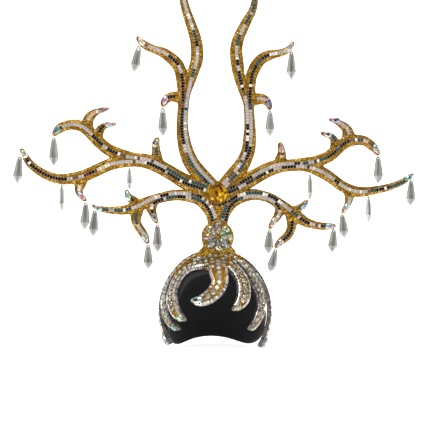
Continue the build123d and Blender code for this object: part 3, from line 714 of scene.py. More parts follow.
def pick_up(piece: bpy.types.Object) -> None:
    """Selects one piece alone and makes it active."""
    put_down()
    piece.select_set(True)
    bpy.context.view_layer.objects.active = piece


def settle(piece: bpy.types.Object, name: str) -> bpy.types.Object:
    """Puts a piece's place into its mesh, its object at the origin.

    Args:
        piece: The piece.
        name: Its name.

    Returns:
        The piece.
    """
    pick_up(piece)
    bpy.ops.object.transform_apply(location=True, rotation=True, scale=True)
    piece.name = name
    piece.data.name = name
    return piece


def place_points(piece: bpy.types.Object, places: np.ndarray) -> None:
    """Moves the points of a piece's mesh to places in metres."""
    piece.data.vertices.foreach_set("co", places.astype(np.float32).ravel())


def soften(piece: bpy.types.Object, degrees: float) -> None:
    """Shades a piece smoothly, apart from edges sharper than an angle."""
    pick_up(piece)
    bpy.ops.object.shade_smooth_by_angle(angle=math.radians(degrees))


def lying_round(name: str, radius: float, deep: float, forward: float, height: float) -> bpy.types.Object:
    """A round that faces the front.

    Args:
        name: Its name.
        radius: Its radius.
        deep: Its depth from front to back.
        forward: How far forward its middle is.
        height: The height of its middle.

    Returns:
        The round.
    """
    put_down()
    bpy.ops.mesh.primitive_cylinder_add(
        vertices=ROUND_SIDES,
        radius=radius * MM,
        depth=deep * MM,
        location=(0, -forward * MM, height * MM),
        rotation=(math.pi / 2, 0, 0),
    )
    return settle(bpy.context.object, name)


def block(name: str, size: tuple[float, float, float], forward: float, height: float) -> bpy.types.Object:
    """A plain block in the middle of the headdress.

    Args:
        name: Its name.
        size: Its width, length and height.
        forward: How far forward its middle is.
        height: The height of its middle.

    Returns:
        The block.
    """
    put_down()
    bpy.ops.mesh.primitive_cube_add(size=1, location=(0, -forward * MM, height * MM))
    bpy.context.object.scale = tuple(length * MM for length in size)
    return settle(bpy.context.object, name)


def ordered(points: np.ndarray, faces: list[tuple[int, ...]]) -> tuple[np.ndarray, list[tuple[int, ...]]]:
    """Numbers points by where they lie, and faces by their points.

    Args:
        points: The points.
        faces: The faces, as numbers of their points.

    Returns:
        The points and faces in their new order.
    """
    order = np.lexsort(np.round(points.T, 8))
    rank = np.argsort(order)
    turned = []
    for face in faces:
        corners = [int(rank[v]) for v in face]
        first = corners.index(min(corners))
        turned.append(tuple(corners[first:] + corners[:first]))
    return points[order], sorted(turned)


def in_order(piece: bpy.types.Object) -> None:
    """Gives a piece its mesh anew with points and faces in order, so that each run gives the same."""
    old = piece.data
    points = np.array([vertex.co[:] for vertex in old.vertices])
    points, faces = ordered(points, [tuple(face.vertices) for face in old.polygons])
    mesh = bpy.data.meshes.new(old.name)
    mesh.from_pydata(points.tolist(), [], faces)
    piece.data = mesh
    bpy.data.meshes.remove(old)
    mesh.name = piece.name


def close_up(piece: bpy.types.Object) -> None:
    """Merges seams and poles, fills open ends and turns the faces outward."""
    pick_up(piece)
    bpy.ops.object.mode_set(mode="EDIT")
    bpy.ops.mesh.select_all(action="SELECT")
    bpy.ops.mesh.remove_doubles(threshold=2e-6)
    bpy.ops.mesh.fill_holes(sides=0)
    bpy.ops.mesh.select_all(action="SELECT")
    bpy.ops.mesh.normals_make_consistent(inside=False)
    bpy.ops.object.mode_set(mode="OBJECT")


def swept(name: str, rings: np.ndarray) -> bpy.types.Object:
    """A closed tube through rings of points.

    Args:
        name: The tube's name.
        rings: Its rings, as rows, points round each, and x, y, z in millimetres.

    Returns:
        The tube.
    """
    rows, around = rings.shape[:2]
    put_down()
    bpy.ops.mesh.primitive_grid_add(x_subdivisions=around, y_subdivisions=rows - 1, size=1)
    tube = bpy.context.object
    places = np.concatenate([rings, rings[:, :1]], axis=1).reshape(-1, 3) * MM
    place_points(tube, places)
    close_up(tube)
    return settle(tube, name)


def finish_with(piece: bpy.types.Object, kind: str, **settings: object) -> None:
    """Adds a modifier and applies it.

    Args:
        piece: The piece.
        kind: The modifier's type.
        settings: What is set on it.
    """
    pick_up(piece)
    bpy.ops.object.modifier_add(type=kind)
    modifier = piece.modifiers[-1]
    for key, value in settings.items():
        setattr(modifier, key, value)
    bpy.ops.object.modifier_apply(modifier=modifier.name)


def cut_away(piece: bpy.types.Object, waste: bpy.types.Object) -> None:
    """Takes one closed mesh out of another and throws it away."""
    finish_with(piece, "BOOLEAN", operation="DIFFERENCE", object=waste, solver="EXACT")
    bpy.data.objects.remove(waste, do_unlink=True)


def dress(piece: bpy.types.Object, *materials: bpy.types.Material) -> None:
    """Gives a piece its materials in order."""
    piece.data.materials.clear()
    for material in materials:
        piece.data.materials.append(material)


def seat(piece: bpy.types.Object, slot: str, *nodes: str) -> None:
    """Fixes a piece to the headdress in place of its nodes.

    Args:
        piece: The piece.
        slot: The name of a material slot; it is not used.
        nodes: The nodes that it stands for.
    """
    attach(piece, "root")
    if nodes:
        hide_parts(*nodes)
    log.info("%s: %d faces", piece.name, len(piece.data.polygons))


def eased(rows: np.ndarray, along: int, spacing: float) -> np.ndarray:
    """A smooth line through the rows of a table.

    Args:
        rows: The rows, with the place in their first columns.
        along: How many columns are the place.
        spacing: The step along the line.

    Returns:
        Rows at that step.
    """
    count = len(rows)
    steps = np.linalg.norm(np.diff(rows[:, :along], axis=0), axis=1)
    knots = np.concatenate([[0.0], np.cumsum(steps)])
    matrix = np.eye(count)
    right = np.zeros_like(rows)
    for i in range(1, count - 1):
        matrix[i, i - 1 : i + 2] = steps[i - 1], 2 * (steps[i - 1] + steps[i]), steps[i]
        right[i] = 6 * ((rows[i + 1] - rows[i]) / steps[i] - (rows[i] - rows[i - 1]) / steps[i - 1])
    bends = np.linalg.solve(matrix, right)
    where = np.linspace(0.0, knots[-1], max(2, int(round(knots[-1] / spacing)) + 1))
    piece = np.clip(np.searchsorted(knots, where, side="right") - 1, 0, count - 2)
    span = steps[piece][:, None]
    after = ((where - knots[piece])[:, None]) / span
    before = 1.0 - after
    pull = (before**3 - before) * bends[piece] + (after**3 - after) * bends[piece + 1]
    return before * rows[piece] + after * rows[piece + 1] + pull * span**2 / 6.0


def travelled(line: np.ndarray) -> np.ndarray:
    """How far along a line each of its points lies."""
    steps = np.linalg.norm(np.diff(line, axis=0), axis=1)
    return np.concatenate([[0.0], np.cumsum(steps)])


def unit(vectors: np.ndarray) -> np.ndarray:
    """The vectors at length one."""
    return vectors / np.maximum(np.linalg.norm(vectors, axis=-1, keepdims=True), 1e-9)


def framed(place: np.ndarray, across: np.ndarray, along: np.ndarray, out: np.ndarray) -> np.ndarray:
    """A 4 by 4 placing matrix, in metres, from a place in millimetres and three directions."""
    matrix = np.eye(4)
    matrix[:3, 0], matrix[:3, 1], matrix[:3, 2] = across, along, out
    matrix[:3, 3] = place * MM
    return matrix


def front_frame(x: float, z: float, forward: float, turn: float, lean: tuple[float, float]) -> np.ndarray:
    """A place on the front of the headdress.

    Args:
        x: Millimetres to the right.
        z: Millimetres up.
        forward: Millimetres to the front.
        turn: Radians from up toward the right.
        lean: Small leans about both of its directions, in radians.

    Returns:
        The placing matrix, its third direction to the front.
    """
    upright = Matrix(((1, 0, 0), (0, 0, -1), (0, 1, 0)))
    leaned = Matrix.Rotation(lean[0], 3, "X") @ Matrix.Rotation(lean[1], 3, "Y")
    matrix = np.eye(4)
    matrix[:3, :3] = np.array(upright @ (Matrix.Rotation(-turn, 3, "Z") @ leaned))
    matrix[:3, 3] = np.array((x, -forward, z)) * MM
    return matrix


@dataclass
class Pattern:
    """A small shape that is modelled once and set many times."""

    points: np.ndarray
    faces: list[tuple[int, ...]]

    @classmethod
    def taken_from(cls, model: bpy.types.Object) -> "Pattern":
        """Keeps a model's mesh as a pattern and throws the model away.

        Args:
            model: The model, at the origin.

        Returns:
            The pattern.
        """
        points = np.array([vertex.co[:] for vertex in model.data.vertices])
        faces = [tuple(face.vertices) for face in model.data.polygons]
        bpy.data.objects.remove(model, do_unlink=True)
        return cls(*ordered(points, faces))

    def set_at(self, name: str, places: list[np.ndarray], tints: list[list[Colour]]) -> bpy.types.Object:
        """Sets a copy at each place, in one mesh.

        Args:
            name: The mesh's name.
            places: The placing matrices.
            tints: For each copy the colour of every face, or one for all.

        Returns:
            The piece.
        """
        count = len(self.points)
        points = np.concatenate([self.points @ m[:3, :3].T + m[:3, 3] for m in places])
        faces = [tuple(v + count * i for v in face) for i in range(len(places)) for face in self.faces]
        mesh = bpy.data.meshes.new(name)
        mesh.from_pydata(points.tolist(), [], faces)
        tint = mesh.color_attributes.new(name="tint", type="FLOAT_COLOR", domain="CORNER")
        shades = []
        for copy in tints:
            for number, face in enumerate(self.faces):
                colour = copy[number % len(copy)]
                shades.extend((*colour, 1.0) * len(face))
        tint.data.foreach_set("color", np.array(shades, np.float32))
        mesh.validate()
        piece = bpy.data.objects.new(name, mesh)
        bpy.context.scene.collection.objects.link(piece)
        return piece


def model_tile(size: float, height: float, edge: float) -> Pattern:
    """A small square tile with bevelled upper edges.

    Args:
        size: Its side.
        height: Its height.
        edge: The bevel's width.

    Returns:
        The pattern, its back on zero.
    """
    put_down()
    bpy.ops.mesh.primitive_cube_add(size=1, location=(0, 0, height * MM / 2))
    tile = bpy.context.object
    tile.scale = (size * MM, size * MM, height * MM)
    settle(tile, "tile_pattern")
    bpy.ops.object.mode_set(mode="EDIT")
    bpy.ops.mesh.select_all(action="DESELECT")
    bpy.ops.object.mode_set(mode="OBJECT")
    for edge_line in tile.data.edges:
        edge_line.select = all(tile.data.vertices[v].co.z > height * MM / 2 for v in edge_line.vertices)
    bpy.ops.object.mode_set(mode="EDIT")
    bpy.ops.mesh.select_mode(type="EDGE")
    bpy.ops.mesh.bevel(offset=edge * MM, segments=1, affect="EDGES")
    bpy.ops.mesh.select_mode(type="VERT")
    bpy.ops.object.mode_set(mode="OBJECT")
    return Pattern.taken_from(tile)


def model_stone(sides: int, height: float, crown: Crown, girdle: float) -> bpy.types.Object:
    """A round faceted stone of radius one, with a girdle, turned rings of facets and a table.

    Args:
        sides: How many sides it has.
        height: Its height in millimetres.
        crown: The width and height shares of each ring above the girdle.
        girdle: The girdle's share of the height.

    Returns:
        The stone, its back on zero.
    """
    put_down()
    bpy.ops.mesh.primitive_cylinder_add(
        vertices=sides, radius=1, depth=height * MM * girdle, location=(0, 0, height * MM * girdle / 2)
    )
    stone = bpy.context.object
    settle(stone, "stone_pattern")
    top = height * MM * girdle
    for face in stone.data.polygons:
        face.select = face.normal.z > 0.9
    for edge_line in stone.data.edges:
        edge_line.select = all(stone.data.vertices[v].co.z > top / 2 for v in edge_line.vertices)
    for vertex in stone.data.vertices:
        vertex.select = vertex.co.z > top / 2
    bpy.ops.object.mode_set(mode="EDIT")
    bpy.ops.mesh.select_mode(type="FACE")
    last_width, last_rise = 1.0, girdle
    for width, rise in crown:
        bpy.ops.mesh.extrude_region_move(
            TRANSFORM_OT_translate={"value": (0, 0, (rise - last_rise) * height * MM)}
        )
        share = width / last_width
        bpy.ops.transform.resize(value=(share, share, 1), center_override=(0, 0, 0))
        bpy.ops.transform.rotate(
            value=math.pi / sides, orient_axis="Z", center_override=(0, 0, 0)
        )
        last_width, last_rise = width, rise
    bpy.ops.object.mode_set(mode="OBJECT")
    in_order(stone)
    bpy.ops.object.mode_set(mode="EDIT")
    bpy.ops.mesh.select_all(action="SELECT")
    bpy.ops.mesh.quads_convert_to_tris(quad_method="SHORTEST_DIAGONAL", ngon_method="BEAUTY")
    bpy.ops.mesh.select_all(action="SELECT")
    bpy.ops.mesh.normals_make_consistent(inside=False)
    bpy.ops.object.mode_set(mode="OBJECT")
    return stone


def round_stone() -> bpy.types.Object:
    """The round stone that tendrils and knob share, of radius one."""
    return model_stone(ROUND_STONE_SIDES, ROUND_STONE_HEIGHT, ROUND_CROWN, ROUND_GIRDLE)


def shape_round(stone: bpy.types.Object, width: float) -> Pattern:
    """Gives a round stone its width in millimetres and keeps it as a pattern."""
    places = np.array([v.co[:] for v in stone.data.vertices])
    places[:, :2] *= width * MM / 2
    place_points(stone, places)
    return Pattern.taken_from(stone)


def shape_pear(stone: bpy.types.Object, length: float, width: float) -> Pattern:
    """Draws a round stone out into a pear, its point at zero and its round end along Y.

    Args:
        stone: The round stone of radius one.
        length: The pear's length in millimetres.
        width: Its width in millimetres.

    Returns:
        The pattern.
    """
    places = np.array([v.co[:] for v in stone.data.vertices])
    share = np.clip((places[:, 1] + 1) / 2, 0.0, 1.0)
    places[:, 0] *= np.maximum(share, 0.02) ** 0.42 / 0.796 * width * MM / 2
    places[:, 1] = share * length * MM
    place_points(stone, places)
    return Pattern.taken_from(stone)


# Colours of tiles and stones


class TileTint(Enum):
    """What one mirror tile shows."""

    BLACK = (0.003, 0.003, 0.003)
    TEAL = (0.022, 0.070, 0.066)
    SILVER = (0.49, 0.447, 0.395)
    WHITE = (0.85, 0.80, 0.735)
    ROSE = (0.62, 0.50, 0.452)
    RED = (0.13, 0.018, 0.020)
    BROWN = (0.15, 0.085, 0.045)
    GREY = (0.20, 0.19, 0.17)
    STRAW = (0.80, 0.68, 0.33)
    PEACH = (0.72, 0.40, 0.24)


class TileMix(Enum):
    """What a stretch of tiles shows: each tint with its weight."""

    UNDER_HUB = {TileTint.BLACK: 2, TileTint.RED: 1}
    DARK = {TileTint.BLACK: 9, TileTint.SILVER: 2, TileTint.TEAL: 2, TileTint.ROSE: 1, TileTint.BROWN: 1}
    SILVER = {TileTint.SILVER: 9, TileTint.TEAL: 2, TileTint.ROSE: 1, TileTint.WHITE: 1, TileTint.BLACK: 1}
    TEAL = {TileTint.TEAL: 6, TileTint.SILVER: 2, TileTint.BLACK: 2, TileTint.BROWN: 1}
    ROSE = {TileTint.ROSE: 5, TileTint.SILVER: 2, TileTint.WHITE: 1, TileTint.BLACK: 1, TileTint.BROWN: 1}
    MIXED = {
        TileTint.BLACK: 6, TileTint.SILVER: 3, TileTint.ROSE: 4, TileTint.TEAL: 3, TileTint.BROWN: 4,
        TileTint.GREY: 2, TileTint.WHITE: 2, TileTint.RED: 1, TileTint.STRAW: 1, TileTint.PEACH: 1,
    }


TILE_RUNS: dict[TileTint, tuple[int, int]] = {
    TileTint.BLACK: (2, 5),
    TileTint.SILVER: (1, 5),
    TileTint.TEAL: (1, 4),
    TileTint.ROSE: (1, 3),
}

STONE_TINTS: tuple[Colour, ...] = (
    (0.62, 0.59, 0.53), (0.44, 0.25, 0.22), (0.12, 0.48, 0.42), (0.46, 0.42, 0.10),
    (0.16, 0.12, 0.09), (0.10, 0.36, 0.40), (0.40, 0.16, 0.26), (0.24, 0.16, 0.10),
    (0.52, 0.38, 0.26), (0.02, 0.016, 0.013), (0.09, 0.15, 0.46), (0.36, 0.48, 0.24),
    (0.34, 0.30, 0.25), (0.05, 0.038, 0.030),
)

PALE_TINTS: tuple[Colour, ...] = (
    (0.46, 0.42, 0.37), (0.34, 0.30, 0.26), (0.62, 0.57, 0.51), (0.33, 0.35, 0.32),
    (0.44, 0.35, 0.30), (0.18, 0.155, 0.13), (0.84, 0.80, 0.73), (0.07, 0.058, 0.048),
)

CREAM_TINTS: tuple[Colour, ...] = (
    (0.64, 0.57, 0.49), (0.50, 0.44, 0.37), (0.78, 0.71, 0.62), (0.42, 0.36, 0.30),
    (0.88, 0.83, 0.75), (0.22, 0.18, 0.15),
)

BLUSH_TINTS: tuple[Colour, ...] = (
    (0.50, 0.43, 0.36), (0.52, 0.28, 0.30), (0.34, 0.38, 0.24), (0.60, 0.54, 0.47),
    (0.26, 0.36, 0.33), (0.40, 0.30, 0.36), (0.48, 0.42, 0.20), (0.16, 0.12, 0.10),
)

MUTED_TINTS: tuple[Colour, ...] = (
    (0.42, 0.40, 0.26), (0.30, 0.28, 0.20), (0.58, 0.55, 0.44), (0.22, 0.17, 0.11),
    (0.46, 0.48, 0.40), (0.85, 0.82, 0.74), (0.05, 0.04, 0.03), (0.38, 0.30, 0.22),
)

LILAC_TINTS: tuple[Colour, ...] = (
    (0.42, 0.42, 0.55), (0.30, 0.31, 0.42), (0.62, 0.60, 0.66), (0.22, 0.20, 0.24),
    (0.50, 0.40, 0.52), (0.34, 0.44, 0.50),
)

PETAL_TINTS: tuple[Colour, ...] = (
    (0.44, 0.39, 0.12), (0.40, 0.14, 0.13), (0.09, 0.36, 0.30), (0.46, 0.40, 0.28),
    (0.27, 0.33, 0.09), (0.10, 0.14, 0.34), (0.24, 0.15, 0.05), (0.45, 0.46, 0.37),
    (0.18, 0.08, 0.12), (0.34, 0.21, 0.15),
)

PETAL_EXTREMES: tuple[Colour, ...] = ((0.020, 0.012, 0.008), (0.62, 0.58, 0.46))

TIP_TINTS: tuple[Colour, ...] = (
    (0.08, 0.62, 0.58), (0.74, 0.16, 0.34), (0.72, 0.54, 0.36), (0.020, 0.016, 0.013),
    (0.72, 0.70, 0.62), (0.16, 0.34, 0.60), (0.10, 0.08, 0.06), (0.50, 0.52, 0.20),
    (0.44, 0.30, 0.36),
)


def varied(chance: random.Random, colour: Colour, amount: float) -> Colour:
    """The colour, lighter or darker by up to a share of itself."""
    share = 1.0 + chance.uniform(-amount, amount)
    return tuple(min(1.0, channel * share) for channel in colour)


def mixed_tiles(chance: random.Random, mixes: tuple[TileMix, ...], count: int) -> list[TileTint]:
    """Draws what the tiles of one row show, in short runs of one tint.

    Args:
        chance: The seeded chance.
        mixes: What the row's stretches show, from the hub outward.
        count: How many tiles the row has.

    Returns:
        One tint a tile.
    """
    tiles: list[TileTint] = []
    while len(tiles) < count:
        mix = mixes[len(tiles) * len(mixes) // count].value
        tint = chance.choices(list(mix), list(mix.values()))[0]
        tiles += [tint] * chance.randint(*TILE_RUNS.get(tint, (1, 2)))
    return tiles[:count]


def pear_tints(chance: random.Random, count: int) -> list[Colour]:
    """Facet colours of one iridescent stone, drawn from a few of the tints."""
    family = chance.sample(TIP_TINTS, 5)
    return [varied(chance, chance.choice(family), 0.25) for _ in range(count)]


def round_tints(chance: random.Random, cut: "Pattern", tints: tuple[Colour, ...]) -> list[Colour]:
    """Facet colours of one round stone: a rim painted dark as painted shade, mixed facets and a table painted
    bright as painted highlight.

    Args:
        chance: The seeded chance.
        cut: The stone's pattern.
        tints: The colours to draw from.

    Returns:
        One colour a face.
    """
    top = cut.points[:, 2].max()
    table = varied(chance, chance.choice(tints), 0.2)
    # A lighter copy of the table's colour, painted on the top facets as painted highlight.
    light = tuple(0.52 * channel + 0.17 for channel in table)
    colours = []
    for face in cut.faces:
        rise = np.mean([cut.points[v][2] for v in face]) / top
        # Facets low at the girdle are painted dark as painted shade.
        if rise < 0.32:
            colours.append((0.06, 0.045, 0.03))
        elif rise < 0.9:
            colours.append(varied(chance, chance.choice((table, light, *tints)), 0.25))
        else:
            colours.append(light)
    return colours


# Branches


@dataclass(frozen=True)
class TileRow:
    """One row of tiles: the stretches of line it follows, and what its tiles show from the hub outward."""

    stretches: tuple[tuple[str, int, int, float], ...]
    mixes: tuple[TileMix, ...]


@dataclass
class BranchArm:
    """One foam arm: a stem whose fork and twigs grow out of it."""

    name: str
    side: Side
    reach: float
    rise: float
    width: float
    sector: tuple[float, float]
    rows: tuple[TileRow, ...]
    spacing: float = 2.4
    around: int = 24
    fullness: float = 2.7
    neck_drift: float = 1.8
    swell: float = 0.9
    knob_gap: float = 0.2

    def centre_line(self, line: str) -> np.ndarray:
        """One line's points.

        Args:
            line: Its name.

        Returns:
            Rows of x, z and half width, in millimetres.
        """
        table = np.array(ARM_LINES[self.name][line])
        return np.column_stack([
            self.side.value * table[:, 0] * self.reach,
            table[:, 1] * self.rise + HUB_HEIGHT,
            table[:, 2] * self.width / 2,
        ])

    def limb(self, line: str) -> bpy.types.Object:
        """Sweeps one line as a rounded bar with a blunt tip.

        Args:
            line: Its name.

        Returns:
            The bar.
        """
        rows = eased(self.centre_line(line), 2, self.spacing)
        rows[:, 2] += self.swell * np.clip(rows[:, 2] / 7.0, 0.3, 1.0)
        tip = rows[-1, 2]
        left = travelled(rows[:, :2])[-1] - travelled(rows[:, :2])
        blunt = np.sqrt(np.clip(1 - (1 - np.clip(left / (1.5 * tip), 0, 1)) ** 2, 0.02, 1))
        half = rows[:, 2] * blunt
        depth = np.minimum(PANEL_THICKNESS / 2, 3.2 + 0.75 * rows[:, 2]) * (0.55 + 0.45 * blunt)
        along = unit(np.gradient(rows[:, :2], axis=0))
        turn = np.linspace(0, 2 * math.pi, self.around, endpoint=False)
        power = 2.0 / self.fullness
        side_share = np.sign(np.cos(turn)) * np.abs(np.cos(turn)) ** power
        depth_share = np.sign(np.sin(turn)) * np.abs(np.sin(turn)) ** power
        rings = np.zeros((len(rows), self.around, 3))
        rings[:, :, 0] = rows[:, None, 0] - along[:, None, 1] * half[:, None] * side_share
        rings[:, :, 2] = rows[:, None, 1] + along[:, None, 0] * half[:, None] * side_share
        rings[:, :, 1] = -PANEL_FRONT + depth[:, None] * (1 + depth_share)
        return swept(line, rings)

    def web(self) -> list[bpy.types.Object]:
        """The foam behind the hub stone, beside it and down the neck."""
        webs = [lying_round("hub_web", HUB_WEB_RADIUS, PANEL_THICKNESS, PANEL_MIDDLE, HUB_HEIGHT)]
        if self.name.endswith(("upper", "lower")):
            neck = HUB_HEIGHT - KNOB_HEIGHT
            beside = (SIDE_WEB_WIDTH, PANEL_THICKNESS, SIDE_WEB_HEIGHT)
            below = (NECK_WEB_WIDTH, PANEL_THICKNESS, neck)
            webs.append(block("side_web", beside, PANEL_MIDDLE, HUB_HEIGHT + SIDE_WEB_RISE))
            webs.append(block("neck_web", below, PANEL_MIDDLE, KNOB_HEIGHT + neck / 2))
        return webs

    def hub_waste(self) -> bpy.types.Object:
        """The part of the hub that belongs to the neighbouring arms, as a closed wedge."""
        start, end = self.sector
        turns = np.radians(np.linspace(end, start + 360.0, 49))
        outline = [(0.0, HUB_HEIGHT)] + [
            (HUB_REACH * math.cos(turn), HUB_HEIGHT + HUB_REACH * math.sin(turn)) for turn in turns
        ]
        put_down()
        bpy.ops.mesh.primitive_circle_add(vertices=len(outline), radius=1, fill_type="NGON")
        wedge = bpy.context.object
        places = np.array([(x, -PANEL_FRONT - WASTE_ROOM, z) for x, z in outline]) * MM
        place_points(wedge, places)
        bpy.ops.object.mode_set(mode="EDIT")
        bpy.ops.mesh.select_all(action="SELECT")
        deep = (PANEL_THICKNESS + 2 * WASTE_ROOM) * MM
        bpy.ops.mesh.extrude_region_move(TRANSFORM_OT_translate={"value": (0, deep, 0)})
        bpy.ops.mesh.select_all(action="SELECT")
        bpy.ops.mesh.normals_make_consistent(inside=False)
        bpy.ops.object.mode_set(mode="OBJECT")
        return settle(wedge, "hub_waste")

    def build(self, foam: bpy.types.Material) -> None:
        """Joins the limbs, melts them into one skin and trims it at the hub.

        Args:
            foam: The foam's material.
        """
        limbs = [self.limb(line) for line in ARM_LINES[self.name]] + self.web()
        put_down()
        for limb in limbs:
            limb.select_set(True)
        bpy.context.view_layer.objects.active = limbs[0]
        bpy.ops.object.join()
        arm = limbs[0]
        finish_with(arm, "REMESH", mode="VOXEL", voxel_size=FOAM_VOXEL * MM, adaptivity=0.0)
        finish_with(arm, "SMOOTH", factor=0.6, iterations=8)
        cut_away(arm, self.hub_waste())
        if self.name.endswith("lower"):
            radius = KNOB_RADIUS + self.knob_gap
            cut_away(arm, lying_round("knob_waste", radius, 2 * PANEL_THICKNESS, PANEL_MIDDLE, KNOB_HEIGHT))
        settle(arm, self.name + "_foam")
        in_order(arm)
        soften(arm, FOAM_EDGE_ANGLE)
        dress(arm, foam)
        seat(arm, "gold_foam", self.name + "_branch")

    def row_path(self, row: TileRow) -> np.ndarray:
        """The line on which a row's tiles lie.

        Args:
            row: The row.

        Returns:
            Points as x and z, half a millimetre apart.
        """
        points = []
        for line, first, last, shift in row.stretches:
            table = self.centre_line(line)[:, :2]
            along = unit(np.gradient(table, axis=0))
            across = np.column_stack([-along[:, 1], along[:, 0]]) * self.side.value
            laid = table + across * shift
            low = np.clip((HUB_HEIGHT - 12.0 - laid[:, 1]) / 30.0, 0.0, 1.0) * (np.abs(table[:, 0]) < 20.0)
            laid[:, 0] += self.neck_drift * low
            points.append(laid[first:last])
        return eased(np.concatenate(points), 2, 0.5)


ARMS: tuple[BranchArm, ...] = (
    BranchArm(
        "left_tall", Side.LEFT, 130, 340, 22, (90, 145.4),
        (
            TileRow((("stem", 0, 9, 4.15), ("stem", 11, 21, 0.0)), (TileMix.SILVER,)),
            TileRow((("stem", 0, 8, -1.35), ("fork", 1, 11, 0.0)),
                    (TileMix.TEAL, TileMix.DARK, TileMix.MIXED, TileMix.ROSE)),
            TileRow((("hook", 1, 5, 0.0),), (TileMix.MIXED,)),
        ),
        swell=1.4,
    ),
    BranchArm(
        "left_upper", Side.LEFT, 310, 135, 24, (145.4, 173.4),
        (
            TileRow((("stem", 0, 7, 2.75), ("fork", 1, 12, 0.0)),
                    (TileMix.TEAL, TileMix.MIXED, TileMix.ROSE, TileMix.SILVER)),
            TileRow((("stem", 0, 8, -2.75), ("stem", 9, 20, 0.0)),
                    (TileMix.DARK, TileMix.ROSE, TileMix.MIXED, TileMix.DARK)),
            TileRow((("near_twig", 1, 5, 0.0),), (TileMix.TEAL,)),
            TileRow((("high_twig", 1, 6, 0.0),), (TileMix.MIXED,)),
            TileRow((("mid_twig", 1, 5, 0.0),), (TileMix.TEAL,)),
            TileRow((("low_twig", 1, 5, 0.0),), (TileMix.ROSE,)),
        ),
    ),
    BranchArm(
        "left_lower", Side.LEFT, 200, 82, 16, (173.4, 270),
        (
            TileRow((("stem", 0, 10, 2.75), ("stem", 12, 18, 0.0)),
                    (TileMix.MIXED, TileMix.SILVER, TileMix.ROSE, TileMix.DARK)),
            TileRow((("stem", 0, 9, -2.75), ("near_twig", 1, 5, 0.0)), (TileMix.DARK,)),
            TileRow((("up_twig", 1, 5, 0.0),), (TileMix.DARK,)),
            TileRow((("far_twig", 1, 6, 0.0),), (TileMix.DARK,)),
        ),
    ),
    BranchArm(
        "right_tall", Side.RIGHT, 123, 330, 22, (36, 90),
        (
            TileRow((("stem", 0, 10, 4.15), ("stem", 12, 23, 0.0)),
                    (TileMix.MIXED, TileMix.ROSE, TileMix.MIXED, TileMix.TEAL)),
            TileRow((("stem", 0, 9, -1.35), ("fork", 1, 11, 0.0)),
                    (TileMix.DARK, TileMix.SILVER, TileMix.TEAL, TileMix.SILVER)),
            TileRow((("hook", 1, 5, 0.0),), (TileMix.ROSE,)),
        ),
        swell=1.4,
    ),
    BranchArm(
        "right_upper", Side.RIGHT, 316, 118, 24, (8, 36),
        (
            TileRow((("stem", 0, 7, 2.75), ("fork", 1, 13, 0.0)),
                    (TileMix.DARK, TileMix.ROSE, TileMix.TEAL, TileMix.MIXED)),
            TileRow((("stem", 0, 8, -2.75), ("stem", 9, 21, 0.0)),
                    (TileMix.DARK, TileMix.SILVER, TileMix.SILVER, TileMix.TEAL)),
            TileRow((("near_twig", 1, 5, 0.0),), (TileMix.MIXED,)),
            TileRow((("high_twig", 1, 6, 0.0),), (TileMix.ROSE,)),
            TileRow((("mid_twig", 1, 5, 0.0),), (TileMix.SILVER,)),
            TileRow((("low_twig", 1, 5, 0.0),), (TileMix.ROSE,)),
        ),
    ),
    BranchArm(
        "right_lower", Side.RIGHT, 190, 88, 16, (-90, 8),
        (
            TileRow((("stem", 0, 10, 2.75), ("stem", 12, 18, 0.0)),
                    (TileMix.MIXED, TileMix.SILVER, TileMix.DARK)),
            TileRow((("stem", 0, 9, -2.75), ("near_twig", 1, 5, 0.0)),
                    (TileMix.DARK, TileMix.SILVER, TileMix.DARK)),
            TileRow((("up_twig", 1, 5, 0.0),), (TileMix.TEAL,)),
            TileRow((("far_twig", 1, 6, 0.0),), (TileMix.DARK,)),
        ),
    ),
)


